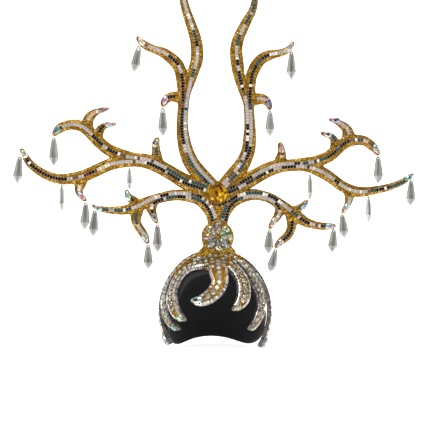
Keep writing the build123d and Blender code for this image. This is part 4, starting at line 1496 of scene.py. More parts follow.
@dataclass
class TileStrips:
    """The mirror tiles on one side: rows along every stem, fork and twig, and half of the hub's arc."""

    side: Side
    arms: tuple[BranchArm, ...]
    size: float = 4.5
    pitch: float = 4.5
    along: float = 0.92
    across: float = 1.2
    height: float = 1.25
    sink: float = 0.25
    edge: float = 0.25
    glint: float = 0.035
    pale_rim: Colour = (0.34, 0.29, 0.24)
    dark_rim: Colour = (0.37, 0.33, 0.29)
    hub_room: float = 15.3
    knob_gap: float = 0.4
    closest: float = 0.93
    arc_radius: float = 18.6
    arc_start: float = 8.5
    arc_step: float = 17.0
    arc_share: float = 0.88

    def clear_spot(self, x: float, z: float, taken: list[tuple[float, float]]) -> bool:
        """Whether a tile at a spot meets neither the hub stone, the knob nor a tile that is laid."""
        room = self.size * 0.5
        if math.hypot(x, z - HUB_HEIGHT) < self.hub_room + room:
            return False
        if math.hypot(x, z - KNOB_HEIGHT) < KNOB_RADIUS + room + self.knob_gap:
            return False
        return all(math.hypot(x - a, z - b) > self.pitch * self.closest for a, b in taken)

    def build(self, glass: bpy.types.Material) -> None:
        """Lays the rows tile by tile.

        Args:
            glass: The tiles' material.
        """
        chance = random.Random(11 + self.side.value)
        pattern = model_tile(self.size, self.height, self.edge)
        pattern.points[:, :2] *= [self.across, self.along]
        tops = [min(pattern.points[v][2] for v in face) > self.height * MM * 0.9 for face in pattern.faces]
        places: list[np.ndarray] = []
        tints: list[list[Colour]] = []
        taken: list[tuple[float, float]] = []

        def lay(x: float, z: float, turn: float, shown: TileTint, share: float = 1.0) -> None:
            """Lays one tile with a slight lean."""
            lean = (chance.gauss(0, 0.04), chance.gauss(0, 0.04))
            place = front_frame(x, z, PANEL_FRONT - self.sink, turn, lean)
            place[:3, :2] *= share
            places.append(place)
            tint = varied(chance, shown.value, 0.16)
            if chance.random() < self.glint:
                tint = TileTint.WHITE.value
            rim = self.pale_rim if sum(tint) < 0.9 else self.dark_rim
            tints.append([tint if top else varied(chance, rim, 0.4) for top in tops])
            taken.append((x, z))

        mixing = random.Random(71 + self.side.value)
        for step, shown in enumerate(mixed_tiles(mixing, (TileMix.UNDER_HUB,), 3)):
            angle = math.radians(-90 + self.side.value * (self.arc_start + self.arc_step * step))
            x = self.arc_radius * math.cos(angle)
            z = HUB_HEIGHT + self.arc_radius * math.sin(angle)
            lay(x, z, math.pi / 2 - angle, shown, self.arc_share)
        for arm in self.arms:
            for row in arm.rows:
                path = arm.row_path(row)
                gone = travelled(path)
                along = unit(np.gradient(path, axis=0))
                room = gone[-1] - PEAR_LENGTH - self.size * 0.5
                spots = np.arange(self.pitch / 2, room, self.pitch)
                kept = []
                for spot in spots:
                    index = int(np.searchsorted(gone, spot))
                    x, z = path[index]
                    if self.clear_spot(x, z, taken):
                        kept.append((x, z, math.atan2(along[index, 0], along[index, 1])))
                for spot, shown in zip(kept, mixed_tiles(mixing, row.mixes, len(kept))):
                    lay(*spot, shown)
        strips = pattern.set_at(f"mirror_tiles_{self.side.word}", places, tints)
        dress(strips, glass)
        seat(strips, "mirror_tile", f"tile_strips_{self.side.word}")


@dataclass
class TipStones:
    """The iridescent pear stones near the ends of one side's lines."""

    side: Side
    arms: tuple[BranchArm, ...]
    share: float = 1.2
    sunk: float = 0.3

    def build(self, foil: bpy.types.Material) -> None:
        """Sets a pear at each line's end.

        Args:
            foil: The stones' material.
        """
        chance = random.Random(29 + self.side.value)
        stone = model_stone(PEAR_SIDES, PEAR_HEIGHT, PEAR_CROWN, PEAR_GIRDLE)
        pear = shape_pear(stone, PEAR_LENGTH * self.share, PEAR_WIDTH * self.share)
        places = []
        for arm in self.arms:
            for line in ARM_LINES[arm.name]:
                (x0, z0), (x1, z1) = arm.centre_line(line)[-2:, :2]
                inset = PEAR_TIP_INSET / math.hypot(x1 - x0, z1 - z0)
                turn = math.atan2(x0 - x1, z0 - z1)
                x, z = x1 - (x1 - x0) * inset, z1 - (z1 - z0) * inset
                places.append(front_frame(x, z, PANEL_FRONT - self.sunk, turn, (0.0, 0.0)))
        tints = [pear_tints(chance, len(pear.faces)) for _ in places]
        stones = pear.set_at(f"tip_pears_{self.side.word}", places, tints)
        dress(stones, foil)
        seat(stones, "iridescent_stone", f"tip_stones_{self.side.word}")


@dataclass
class HubStone:
    """The round amber stone where the branches meet, cut like a chessboard."""

    radius: float = 14.2
    height: float = 7.0
    squares: int = 6
    girdle: float = 1.6
    doming: float = 0.86
    tilt: float = 14.0
    # Levels of the lowest and the highest squares: painted highlight below, painted shade above.
    glow: tuple[float, float] = (0.62, 0.24)
    glow_spread: float = 0.38
    tones: tuple[Colour, ...] = ((0.050, 0.016, 0.0004), (0.42, 0.195, 0.004), (0.94, 0.64, 0.030))

    def build(self, foil: bpy.types.Material) -> None:
        """Domes a small grid into a round, closes it below and tints its squares, the lower ones painted
        bright as painted highlight and the upper ones dark as painted shade.

        Args:
            foil: The stone's material.
        """
        chance = random.Random(5)
        put_down()
        bpy.ops.mesh.primitive_grid_add(x_subdivisions=self.squares, y_subdivisions=self.squares, size=2)
        stone = bpy.context.object
        flat = np.array([v.co[:] for v in stone.data.vertices])
        x = flat[:, 0] * np.sqrt(1 - flat[:, 1] ** 2 / 2)
        y = flat[:, 1] * np.sqrt(1 - flat[:, 0] ** 2 / 2)
        rise = np.sqrt(np.clip(1 - self.doming * (x**2 + y**2), 0, 1))
        low = math.sqrt(1 - self.doming)
        dome = self.girdle + (self.height - self.girdle) * (rise - low) / (1 - low)
        cosine, sine = math.cos(math.radians(self.tilt)), math.sin(math.radians(self.tilt))
        turned = np.column_stack([x * cosine - y * sine, x * sine + y * cosine])
        places = np.column_stack([turned * self.radius, dome]) * MM
        place_points(stone, places)
        bpy.ops.object.mode_set(mode="EDIT")
        bpy.ops.mesh.select_mode(type="VERT")
        bpy.ops.mesh.select_all(action="DESELECT")
        bpy.ops.mesh.select_non_manifold()
        bpy.ops.mesh.extrude_region_move(TRANSFORM_OT_translate={"value": (0, 0, -self.girdle * MM)})
        bpy.ops.mesh.edge_face_add()
        bpy.ops.mesh.select_all(action="SELECT")
        bpy.ops.mesh.normals_make_consistent(inside=False)
        bpy.ops.object.mode_set(mode="OBJECT")
        cut = Pattern.taken_from(stone)
        tints = []
        for face in cut.faces:
            _, height, rise = cut.points[list(face)].mean(axis=0) / MM
            # The level falls from the bottom to the top as painted light and shade, with a random spread; the
            # girdle's sides take the middle level.
            level = np.interp(height, (-self.radius, self.radius), self.glow) if rise > self.girdle else 0.5
            glow = min(1.0, max(0.0, level + chance.uniform(-self.glow_spread, self.glow_spread))) ** 1.3
            tints.append(tuple(np.interp(glow, (0.0, 0.5, 1.0), channel) for channel in zip(*self.tones)))
        place = front_frame(0.0, HUB_HEIGHT, PANEL_FRONT, 0.0, (0.0, 0.0))
        amber = cut.set_at("amber_hub_stone", [place], [tints])
        dress(amber, foil)
        seat(amber, "amber_stone", "hub_stone")


@dataclass
class Knob:
    """The round foam knob and the mound on which it stands."""

    foot: tuple[float, float, float] = (45.0, 32.0, 28.0)
    foot_top: float = 19.4
    skirt: tuple[float, float, float] = (59.0, 20.0, 19.0)
    skirt_top: float = 10.4
    shoulder: float = 3.5
    front: float = 51.0
    stone_width: float = 7.0
    stone_sunk: float = 0.5
    skirt_rounds: int = 40
    knob_rounds: int = 8
    stones: tuple[tuple[float, float, float], ...] = (
        (-28.0, -3.4, 1.0), (-20.4, -1.6, 0.9), (-12.2, 1.4, 0.95), (-3.4, 2.0, 0.9), (5.2, 3.0, 0.8),
        (13.6, -0.4, 1.0), (21.0, 3.0, 0.85), (27.8, -2.6, 1.0),
    )

    def set_stones(self, foil: bpy.types.Material) -> None:
        """Sets round stones along the mound's front.

        Args:
            foil: The stones' material.
        """
        chance = random.Random(53)
        disc = shape_round(round_stone(), self.stone_width)
        places = []
        for x, z, share in self.stones:
            place = front_frame(x, z, self.front - self.stone_sunk, 0.0, (0.0, 0.0))
            place[:3, :2] *= share
            places.append(place)
        tints = [round_tints(chance, disc, MUTED_TINTS + BLUSH_TINTS) for _ in places]
        stones = disc.set_at("foot_stones", places, tints)
        dress(stones, foil)
        seat(stones, "iridescent_stone")

    def mound(self, name: str, size: tuple[float, float, float], top: float) -> bpy.types.Object:
        """A block under the knob, its front at the mound's front."""
        return block(name, size, self.front - size[1] / 2, top - size[2] / 2)

    def sloped_skirt(self) -> bpy.types.Object:
        """The lower block, whose top slopes up to the foot."""
        skirt = self.mound("skirt", self.skirt, self.skirt_top)
        pick_up(skirt)
        bpy.ops.object.mode_set(mode="EDIT")
        bpy.ops.mesh.select_mode(type="FACE")
        bpy.ops.mesh.select_all(action="DESELECT")
        bpy.ops.object.mode_set(mode="OBJECT")
        for face in skirt.data.polygons:
            face.select = face.normal.z > 0.9
        bpy.ops.object.mode_set(mode="EDIT")
        bpy.ops.mesh.extrude_region_move(TRANSFORM_OT_translate={"value": (0, 0, self.shoulder * MM)})
        bpy.ops.transform.resize(value=(self.foot[0] / self.skirt[0], 1, 1))
        bpy.ops.object.mode_set(mode="OBJECT")
        in_order(skirt)
        return skirt

    def melt(self, piece: bpy.types.Object, other: bpy.types.Object, rounds: int) -> None:
        """Joins two pieces in one skin and smooths it.

        Args:
            piece: The piece that stays.
            other: The piece that goes into it.
            rounds: How often the skin is smoothed.
        """
        pick_up(piece)
        other.select_set(True)
        bpy.ops.object.join()
        finish_with(piece, "REMESH", mode="VOXEL", voxel_size=FOAM_VOXEL * MM, adaptivity=0.0)
        finish_with(piece, "SMOOTH", factor=0.6, iterations=rounds)

    def build(self, foam: bpy.types.Material) -> None:
        """Melts the knob and its mound into one skin and trims it at the crown plate.

        Args:
            foam: The foam's material.
        """
        deep = KNOB_FRONT - PANEL_BACK
        knob = lying_round("knob", KNOB_RADIUS, deep, PANEL_BACK + deep / 2, KNOB_HEIGHT)
        foot, skirt = self.mound("foot", self.foot, self.foot_top), self.sloped_skirt()
        self.melt(skirt, foot, self.skirt_rounds)
        self.melt(knob, skirt, self.knob_rounds)
        half = np.array(HEAD_HALF) + LINER_WALL + TENDRIL_GAP + TENDRIL_DEPTH
        put_down()
        bpy.ops.mesh.primitive_uv_sphere_add(segments=128, ring_count=64, radius=1)
        dome = bpy.context.object
        dome.scale = tuple(half * MM)
        dome.location = (0, 0, -HEAD_HALF[2] * MM)
        cut_away(knob, settle(dome, "dome"))
        settle(knob, "flower_knob_foam")
        in_order(knob)
        soften(knob, FOAM_EDGE_ANGLE)
        dress(knob, foam)
        seat(knob, "gold_foam", "flower_knob")


@dataclass
class Flower:
    """Eight iridescent pears in a ring on the knob."""

    count: int = 8
    length: float = 20.7
    width: float = 12.6
    height: float = 4.0
    inner: float = 3.2

    def build(self, foil: bpy.types.Material) -> None:
        """Sets the petals, each its own piece.

        Args:
            foil: The stones' material.
        """
        chance = random.Random(41)
        crown = ((0.84, 0.58), (0.62, 0.86), (0.36, 1.0))
        petal = shape_pear(model_stone(14, self.height, crown, 0.25), self.length, self.width)
        for number in range(self.count):
            turn = 2 * math.pi * number / self.count
            x, z = self.inner * math.sin(turn), KNOB_HEIGHT + self.inner * math.cos(turn)
            place = front_frame(x, z, KNOB_FRONT, turn, (0.0, 0.0))
            family = (*chance.sample(PETAL_TINTS, 4), *PETAL_EXTREMES)
            tints = [varied(chance, chance.choice(family), 0.25) for _ in petal.faces]
            stone = petal.set_at(f"petal_{number + 1}", [place], [tints])
            dress(stone, foil)
            seat(stone, "iridescent_stone", f"petal_stone_{number + 1}")


# Cap


def on_dome(turn: np.ndarray, down: np.ndarray, lift: float) -> tuple[np.ndarray, np.ndarray]:
    """Points over the head and the way out from them.

    Args:
        turn: Degrees round from the front.
        down: Degrees from the top.
        lift: Millimetres above the head.

    Returns:
        The points in millimetres, and the outward directions.
    """
    half = np.array(HEAD_HALF) + lift
    round_, low = np.radians(turn), np.radians(down)
    away = np.stack([np.sin(low) * np.sin(round_), -np.sin(low) * np.cos(round_), np.cos(low)], axis=-1)
    return away * half - np.array([0.0, 0.0, HEAD_HALF[2]]), unit(away / half)


@dataclass
class LinerCap:
    """The cloth cap: a thin shell over the head, sewn of six panels, with a turned and stitched hem."""

    around: int = 144
    down_rows: int = 50
    panels: int = 6
    seam_half: float = 0.8
    seam_depth: float = 0.75
    seam_rows: tuple[float, ...] = (-1.6, -1.0, -0.5, 0.0, 0.5, 1.0, 1.6)
    hem: float = 9.0
    hem_rows: tuple[float, ...] = (11.0, 10.0, 9.5, 9.0, 8.5, 8.0, 6.5, 4.0, 2.0, 1.0, 0.4, 0.0)
    hem_rise: float = 0.35
    per_degree: float = 1.5

    def edge_height(self, back: np.ndarray) -> np.ndarray:
        """The height of the cap's edge at places from the front to the back.

        Args:
            back: How far back each is, in millimetres.

        Returns:
            The heights.
        """
        table = np.array(LINER_EDGE) * [-HEAD_HALF[1], -HEAD_HALF[2]]
        line = eased(table, 2, 0.5)
        return np.interp(back, line[:, 0], line[:, 1])

    def reach(self, turns: np.ndarray) -> np.ndarray:
        """How many degrees down the shell goes at each turn."""
        downs = np.linspace(20.0, 150.0, 521)
        limits = []
        for turn in turns:
            points, _ = on_dome(np.full_like(downs, turn), downs, LINER_WALL)
            below = points[:, 2] < self.edge_height(points[:, 1])
            limits.append(downs[int(np.argmax(below))])
        return np.array(limits)

    def sunk(self, turns: np.ndarray, downs: np.ndarray, limits: np.ndarray) -> np.ndarray:
        """How deep the cloth lies under the cap's full thickness.

        Args:
            turns: Degrees round of each column.
            downs: Degrees down, as rows and columns.
            limits: Degrees down of the edge at each column.

        Returns:
            The depths in millimetres.
        """
        panel = 360.0 / self.panels
        aside = np.abs((turns + panel / 2) % panel - panel / 2) * self.per_degree * np.sin(np.radians(downs))
        above = (limits[None, :] - downs) * self.per_degree
        seam = np.exp(-((aside / self.seam_half) ** 2)) * np.clip(downs / 12.0, 0.0, 1.0)
        stitch = np.exp(-(((above - self.hem) / self.seam_half) ** 2))
        body = np.clip((above - self.hem) / self.seam_half, 0.0, 1.0) * self.hem_rise
        return body + np.maximum(seam * (above > self.hem), stitch) * self.seam_depth

    def build(self, cloth: bpy.types.Material) -> None:
        """Domes a grid, gives it its wall, its seams and its hem.

        Args:
            cloth: The cloth's material.
        """
        even = np.linspace(0, 360, self.around, endpoint=False)
        limits = self.reach(even)
        limits = np.mean([np.roll(limits, step) for step in (-2, -1, 0, 1, 2)], axis=0) - 0.6
        panel = 360.0 / self.panels
        seams = [panel * number + step for number in range(self.panels) for step in self.seam_rows]
        turns = np.unique(np.concatenate([even, np.array(seams) % 360.0]))
        limits = np.interp(turns, np.append(even, 360.0), np.append(limits, limits[0]))
        body = np.linspace(0, 1, self.down_rows)[:, None] * (limits - self.hem_rows[0] / self.per_degree - 1.0)
        hem = limits[None, :] - np.array(self.hem_rows)[:, None] / self.per_degree
        downs = np.concatenate([body, hem])
        around = np.tile(turns, (len(downs), 1))
        lifts = LINER_WALL - 0.05 - self.sunk(turns, downs, limits)
        outer = on_dome(around, downs, 0.0)[0] + on_dome(around, downs, 0.0)[1] * lifts[..., None]
        inner, _ = on_dome(around, downs, 0.05)
        middle, _ = on_dome(turns, limits + 0.3, LINER_WALL / 2)
        shell = swept("liner_cloth", np.concatenate([outer, middle[None], inner[::-1]]))
        soften(shell, 60.0)
        dress(shell, cloth)
        seat(shell, "black_cloth", "liner_cap")


@dataclass(frozen=True)
class TendrilStyle:
    """How one tendril is jewelled: its chains, its round stones and its paving."""

    chain_from: tuple[float, float] = (0.0, 0.0)
    chain_wide: float = 3.9
    glow: float = 1.0
    stone_width: float = 7.4
    stone_share: float = 1.0
    paved: tuple[float, float] = (1.0, 1.0)
    tints: tuple[Colour, ...] = PALE_TINTS + STONE_TINTS[1:4]
    tip_tints: tuple[Colour, ...] = STONE_TINTS
    tip_share: float = 1.0


TENDRIL_STYLES: dict[str, TendrilStyle] = {
    "front_curl": TendrilStyle(
        chain_wide=4.4, glow=1.35, stone_width=8.7, paved=(0.74, 0.86), tints=BLUSH_TINTS,
        tip_tints=TIP_TINTS + LILAC_TINTS, tip_share=1.6,
    ),
    "left_brow_tendril": TendrilStyle(
        chain_from=(0.40, 0.0), glow=1.5, paved=(0.55, 0.70), tip_tints=STONE_TINTS[:5], tip_share=1.1
    ),
    "left_temple_tendril": TendrilStyle(chain_from=(0.42, 0.38), glow=0.8, paved=(0.45, 0.88), tip_share=1.1),
    "left_ear_tendril": TendrilStyle(
        chain_from=(0.35, 0.38), stone_share=0.5, paved=(0.42, 0.88), tip_tints=LILAC_TINTS, tip_share=1.5
    ),
    "right_brow_tendril": TendrilStyle(
        paved=(0.26, 0.85), tints=MUTED_TINTS, tip_tints=MUTED_TINTS, tip_share=1.1
    ),
    "right_temple_tendril": TendrilStyle(
        chain_from=(0.0, 0.16), paved=(0.30, 0.88), tints=MUTED_TINTS, tip_tints=MUTED_TINTS, tip_share=1.1
    ),
    "right_ear_tendril": TendrilStyle(
        chain_from=(0.16, 0.14), stone_share=0.5, paved=(0.20, 0.88), tip_tints=LILAC_TINTS, tip_share=1.5
    ),
}


@dataclass
class Tendril:
    """One jewelled foam tendril: its bar, and where its stones and chains lie."""

    name: str
    rows: np.ndarray = field(init=False)
    spots: np.ndarray = field(init=False)
    out: np.ndarray = field(init=False)
    across: np.ndarray = field(init=False)
    pave_pitch: float = 3.2
    profile: tuple[tuple[float, float], ...] = (
        (-0.94, 0.0), (-1.0, 0.14), (-1.0, 0.45), (-0.965, 0.68), (-0.90, 0.86), (-0.80, 0.97), (-0.66, 1.0),
        (-0.33, 1.0), (0.0, 1.0), (0.33, 1.0), (0.66, 1.0), (0.80, 0.97), (0.90, 0.86), (0.965, 0.68),
        (1.0, 0.45), (1.0, 0.14), (0.94, 0.0), (0.5, 0.0), (0.0, 0.0), (-0.5, 0.0),
    )

    def __post_init__(self) -> None:
        """Works out the tendril's line over the dome."""
        table = np.array(TENDRIL_LINES[self.name])
        lift = LINER_WALL + TENDRIL_GAP
        knots, _ = on_dome(table[:, 0], table[:, 1], lift)
        self.rows = eased(np.column_stack([knots, table]), 3, 1.6)
        self.spots, self.out = on_dome(self.rows[:, 3], self.rows[:, 4], lift)
        along = unit(np.gradient(self.spots, axis=0))
        self.across = unit(np.cross(self.out, along))

    @property
    def half(self) -> np.ndarray:
        """Half widths along the line."""
        return self.rows[:, 5] * TENDRIL_WIDTH / 2

    def plate_waste(self) -> bpy.types.Object:
        """The round in which the crown plate takes over."""
        put_down()
        bpy.ops.mesh.primitive_cylinder_add(
            vertices=128,
            radius=(PLATE_RADIUS + 0.1) * MM,
            depth=200 * MM,
            location=(0, -PLATE_FORWARD * MM, 0),
        )
        return settle(bpy.context.object, "plate_waste")

    @property
    def style(self) -> "TendrilStyle":
        """How this tendril is jewelled."""
        return TENDRIL_STYLES[self.name]

    def build(self, foam: bpy.types.Material, dark: bpy.types.Material) -> None:
        """Sweeps the bar, cuts it at the plate and darkens its sides.

        Args:
            foam: The glitter foam.
            dark: The dark foam of its sides.
        """
        profile = np.array(self.profile)
        left = travelled(self.spots)[-1] - travelled(self.spots)
        blunt = np.sqrt(np.clip(1 - (1 - np.clip(left / 3.0, 0, 1)) ** 2, 0.03, 1))
        half = self.half * blunt
        rings = (
            self.spots[:, None]
            + self.across[:, None] * (half[:, None] * profile[:, 0])[..., None]
            + self.out[:, None] * (TENDRIL_DEPTH * profile[:, 1] * (0.5 + 0.5 * blunt[:, None]))[..., None]
        )
        bar = swept(self.name + "_foam", rings)
        cut_away(bar, self.plate_waste())
        settle(bar, self.name + "_foam")
        soften(bar, 50.0)
        dress(bar, foam, dark)
        for face in bar.data.polygons:
            centre = np.array(face.center) / MM
            nearest = int(np.argmin(np.linalg.norm(self.spots - centre, axis=1)))
            rise = float((centre - self.spots[nearest]) @ self.out[nearest]) / TENDRIL_DEPTH
            beside = int(float((centre - self.spots[nearest]) @ self.across[nearest]) > 0)
            chained = nearest / len(self.spots) >= self.style.chain_from[beside] - 0.01
            face.material_index = 1 if rise <= 0.9 and chained else 0
        seat(bar, "gold_foam", self.name)

    def beside(self, offset: float, share: float) -> tuple[np.ndarray, np.ndarray, np.ndarray]:
        """A place on the tendril's top.

        Args:
            offset: Millimetres across it from its middle.
            share: The share of its length.

        Returns:
            The place, the way along and the way out.
        """
        index = min(int(share * (len(self.spots) - 1)), len(self.spots) - 2)
        place = self.spots[index] + self.across[index] * offset + self.out[index] * (TENDRIL_DEPTH - 0.1)
        return place, unit(self.spots[index + 1] - self.spots[index]), self.out[index]

    def pave_places(self, chance: random.Random, laid: list[np.ndarray]) -> list[np.ndarray]:
        """Where small stones fill the top between the chains.

        Args:
            chance: The seeded chance.
            laid: The round stones that are there, in millimetres.

        Returns:
            Their placing matrices.
        """
        places = []
        long = travelled(self.spots)[-1]
        start, end = self.style.paved
        for share in np.arange(start, end, self.pave_pitch / long):
            index = min(int(share * len(self.half)), len(self.half) - 1)
            half = self.half[index] - self.style.chain_wide - 0.6
            across = int(half / self.pave_pitch * 2 + 0.5)
            for number in range(-across, across + 1):
                offset = number * self.pave_pitch / 2 + chance.uniform(-0.35, 0.35)
                if (number + int(share * long / self.pave_pitch)) % 2 or abs(offset) > half:
                    continue
                place, run, out = self.beside(offset, share + chance.uniform(-0.3, 0.3) / long)
                if all(np.linalg.norm(place - other) > 4.9 for other in laid):
                    matrix = framed(place, np.cross(run, out), run, out)
                    matrix[:3, :3] *= chance.uniform(0.36, 0.50)
                    places.append(matrix)
        return places

    def chain_places(self, pitch: float, inset: float, rise: float, lean: float) -> list[np.ndarray]:
        """Where the small square stones stand along both edges.

        Args:
            pitch: The step from one to the next.
            inset: How far in from the tendril's side their middle is.
            rise: How high they stand above the tendril's back.
            lean: How far they lean outward, in radians.

        Returns:
            Their placing matrices.
        """
        places = []
        last = travelled(self.spots)[-1] - PEAR_LENGTH * 0.5
        for side, begin in zip((-1.0, 1.0), self.style.chain_from):
            middle = np.maximum(self.half - inset, self.half / 2) * side
            line = self.spots + self.across * middle[:, None] + self.out * rise
            leaning = unit(self.out * math.cos(lean) + self.across * math.sin(lean) * side)
            gone = travelled(line)
            limit = np.interp(last, travelled(self.spots), gone)
            along = unit(np.gradient(line, axis=0))
            for spot in np.arange(max(pitch / 2, begin * gone[-1]), limit, pitch):
                index = min(int(np.searchsorted(gone, spot)), len(gone) - 1)
                place = np.array([np.interp(spot, gone, line[:, axis]) for axis in range(3)])
                if math.hypot(place[0], place[1] + PLATE_FORWARD) < PLATE_RADIUS + pitch * 0.6:
                    continue
                out = leaning[index]
                run = unit(along[index] - out * float(along[index] @ out))
                matrix = framed(place, np.cross(run, out), run, out)
                matrix[:3, 0] *= self.style.chain_wide
                places.append(matrix)
        return places


@dataclass
class TendrilGroup:
    """The tendrils on one part of the cap, with their chains and stones."""

    word: str
    names: tuple[str, ...]
    chain_tints: tuple[Colour, ...] = PALE_TINTS
    chain_long: float = 2.6
    chain_pitch: float = 2.9
    chain_rise: float = 1.5
    # Rows as inset, rise, lean and brightness; the outward-leaning side row is painted darker as painted
    # shade.
    chain_rows: tuple[tuple[float, float, float, float], ...] = ((1.6, 6.2, 0.42, 1.0), (0.25, 2.9, 1.42, 0.4))
    stone_width: float = 7.4
    stone_room: float = 5.9
    stone_pitch: float = 8.8
    stone_gap: float = 0.35
    plate_reach: float = 4.0
    plate_offsets: tuple[float, ...] = (-8.8, 8.8)
    foot: tuple[float, float, float] = (29.5, 32.0, 51.0)

    def clear_of_foot(self, place: np.ndarray) -> bool:
        """Whether a round stone stands clear of the knob's foot."""
        room = self.stone_width / 2 + self.stone_gap
        half, length, front = self.foot
        beside = abs(place[0]) > half + room
        before = place[1] < -front - room
        return beside or before or place[1] > length - front + room

    def stone_places(self) -> tuple[list[tuple[str, np.ndarray]], list[tuple[str, np.ndarray]]]:
        """Where the round stones and the pears stand, as the nodes have them.

        Returns:
            The round stones' tendrils and places, and the pears'.
        """
        stones, pears, laid = [], [], []
        lift = LINER_WALL + TENDRIL_GAP
        for name in self.names:
            table = np.array(TENDRIL_LINES[name])
            spots, out = on_dome(table[:, 0], table[:, 1], lift)
            place = 0.0
            for index in range(len(table) - 1):
                step = spots[index + 1] - spots[index]
                length = float(np.linalg.norm(step))
                while place < length:
                    share = place / length
                    away = unit(out[index] + (out[index + 1] - out[index]) * share)
                    spot = spots[index] + step * share + away * (TENDRIL_DEPTH - 0.05)
                    wide = (table[index, 2] + (table[index + 1, 2] - table[index, 2]) * share) * TENDRIL_WIDTH
                    room = wide * TENDRIL_TOP - 7.8
                    on_plate = math.hypot(spot[0], spot[1] + PLATE_FORWARD) < PLATE_RADIUS
                    crowded = any(np.linalg.norm(spot - other) < self.stone_width for other in laid)
                    if (on_plate or room > self.stone_room) and self.clear_of_foot(spot) and not crowded:
                        run = unit(step - away * float(step @ away))
                        matrix = framed(spot, run, np.cross(away, run), away)
                        matrix[:3, :2] *= TENDRIL_STYLES[name].stone_width / self.stone_width
                        matrix[:3, 2] *= TENDRIL_STYLES[name].stone_share
                        stones.append((name, matrix))
                        laid.append(spot)
                    place += self.stone_pitch
                place -= length
            inward = unit(spots[-2] - spots[-1])
            inward = unit(inward - out[-1] * float(inward @ out[-1]))
            tip = spots[-1] + out[-1] * (TENDRIL_DEPTH + 0.1)
            matrix = framed(tip, np.cross(inward, out[-1]), inward, out[-1])
            matrix[:3, :3] *= TENDRIL_STYLES[name].tip_share
            pears.append((name, matrix))
        return stones, pears

    def build(self, foam: bpy.types.Material, dark: bpy.types.Material, chain: bpy.types.Material,
              foil: bpy.types.Material) -> None:
        """Builds the bars, then sets the chains and the stones on them.

        Args:
            foam: The glitter foam.
            dark: The dark foam.
            chain: The chains' material.
            foil: The stones' material.
        """
        chance = random.Random(self.word)
        link = model_tile(1.0, self.chain_rise, 0.22)
        link.points[:, 1] *= self.chain_long
        places, tints = [], []
        for name in self.names:
            tendril = Tendril(name)
            tendril.build(foam, dark)
            for inset, rise, lean, light in self.chain_rows:
                row = tendril.chain_places(self.chain_pitch, inset, rise, lean)
                places += row
                # Each row's tints are scaled by its brightness, painted shade for the side row, and by the
                # tendril's glow.
                light *= tendril.style.glow
                for _ in row:
                    tint = varied(chance, chance.choice(self.chain_tints), 0.15)
                    tints.append([tuple(min(1.0, light * channel) for channel in tint)])
        bands = link.set_at(f"square_stone_chains_{self.word}", places, tints)
        dress(bands, chain)
        seat(bands, "silver_chain", f"edge_bands_{self.word}")
        self.set_stones(chance, foil)

    def plate_places(self, laid: list[np.ndarray]) -> list[tuple[str, np.ndarray]]:
        """Where more round stones run over the crown plate, beside the tendrils' own rows.

        Args:
            laid: The round stones that are there, in millimetres.

        Returns:
            Their tendrils and places.
        """
        places = []
        for name in self.names:
            tendril = Tendril(name)
            for offset in self.plate_offsets if tendril.style.stone_share == 1.0 else ():
                for share in np.arange(0.0, 0.5, 0.02):
                    place, run, out = tendril.beside(offset, share)
                    near = math.hypot(place[0], place[1] + PLATE_FORWARD) < PLATE_RADIUS + self.plate_reach
                    free = all(np.linalg.norm(place - other) > 8.6 for other in laid)
                    if near and free and self.clear_of_foot(place):
                        places.append((name, framed(place, run, np.cross(out, run), out)))
                        laid.append(place)
        return places

    def set_stones(self, chance: random.Random, foil: bpy.types.Material) -> None:
        """Sets the round stones, the paving and the pears, joined in one piece.

        Args:
            chance: The seeded chance.
            foil: The stones' material.
        """
        disc = shape_round(round_stone(), self.stone_width)
        stone = model_stone(PEAR_SIDES, PEAR_HEIGHT, PEAR_CROWN, PEAR_GIRDLE)
        pear = shape_pear(stone, PEAR_LENGTH, PEAR_WIDTH)
        rounds, pears = self.stone_places()
        laid = [matrix[:3, 3] / MM for _, matrix in rounds]
        rounds += self.plate_places(laid)
        for name in self.names:
            rounds += [(name, matrix) for matrix in Tendril(name).pave_places(chance, laid)]
        tints = [round_tints(chance, disc, TENDRIL_STYLES[name].tints) for name, _ in rounds]
        stones = disc.set_at(f"tendril_stones_{self.word}", [matrix for _, matrix in rounds], tints)
        tints = [
            [varied(chance, chance.choice(TENDRIL_STYLES[name].tip_tints), 0.25) for _ in pear.faces]
            for name, _ in pears
        ]
        tips = pear.set_at("tips", [matrix for _, matrix in pears], tints)
        pick_up(stones)
        tips.select_set(True)
        bpy.ops.object.join()
        dress(stones, foil)
        seat(stones, "iridescent_stone", f"stone_rows_{self.word}")


TENDRIL_GROUPS: tuple[TendrilGroup, ...] = (
    TendrilGroup("front", ("front_curl", "left_brow_tendril", "right_brow_tendril"), CREAM_TINTS),
    TendrilGroup("left", ("left_temple_tendril", "left_ear_tendril")),
    TendrilGroup("right", ("right_temple_tendril", "right_ear_tendril")),
)


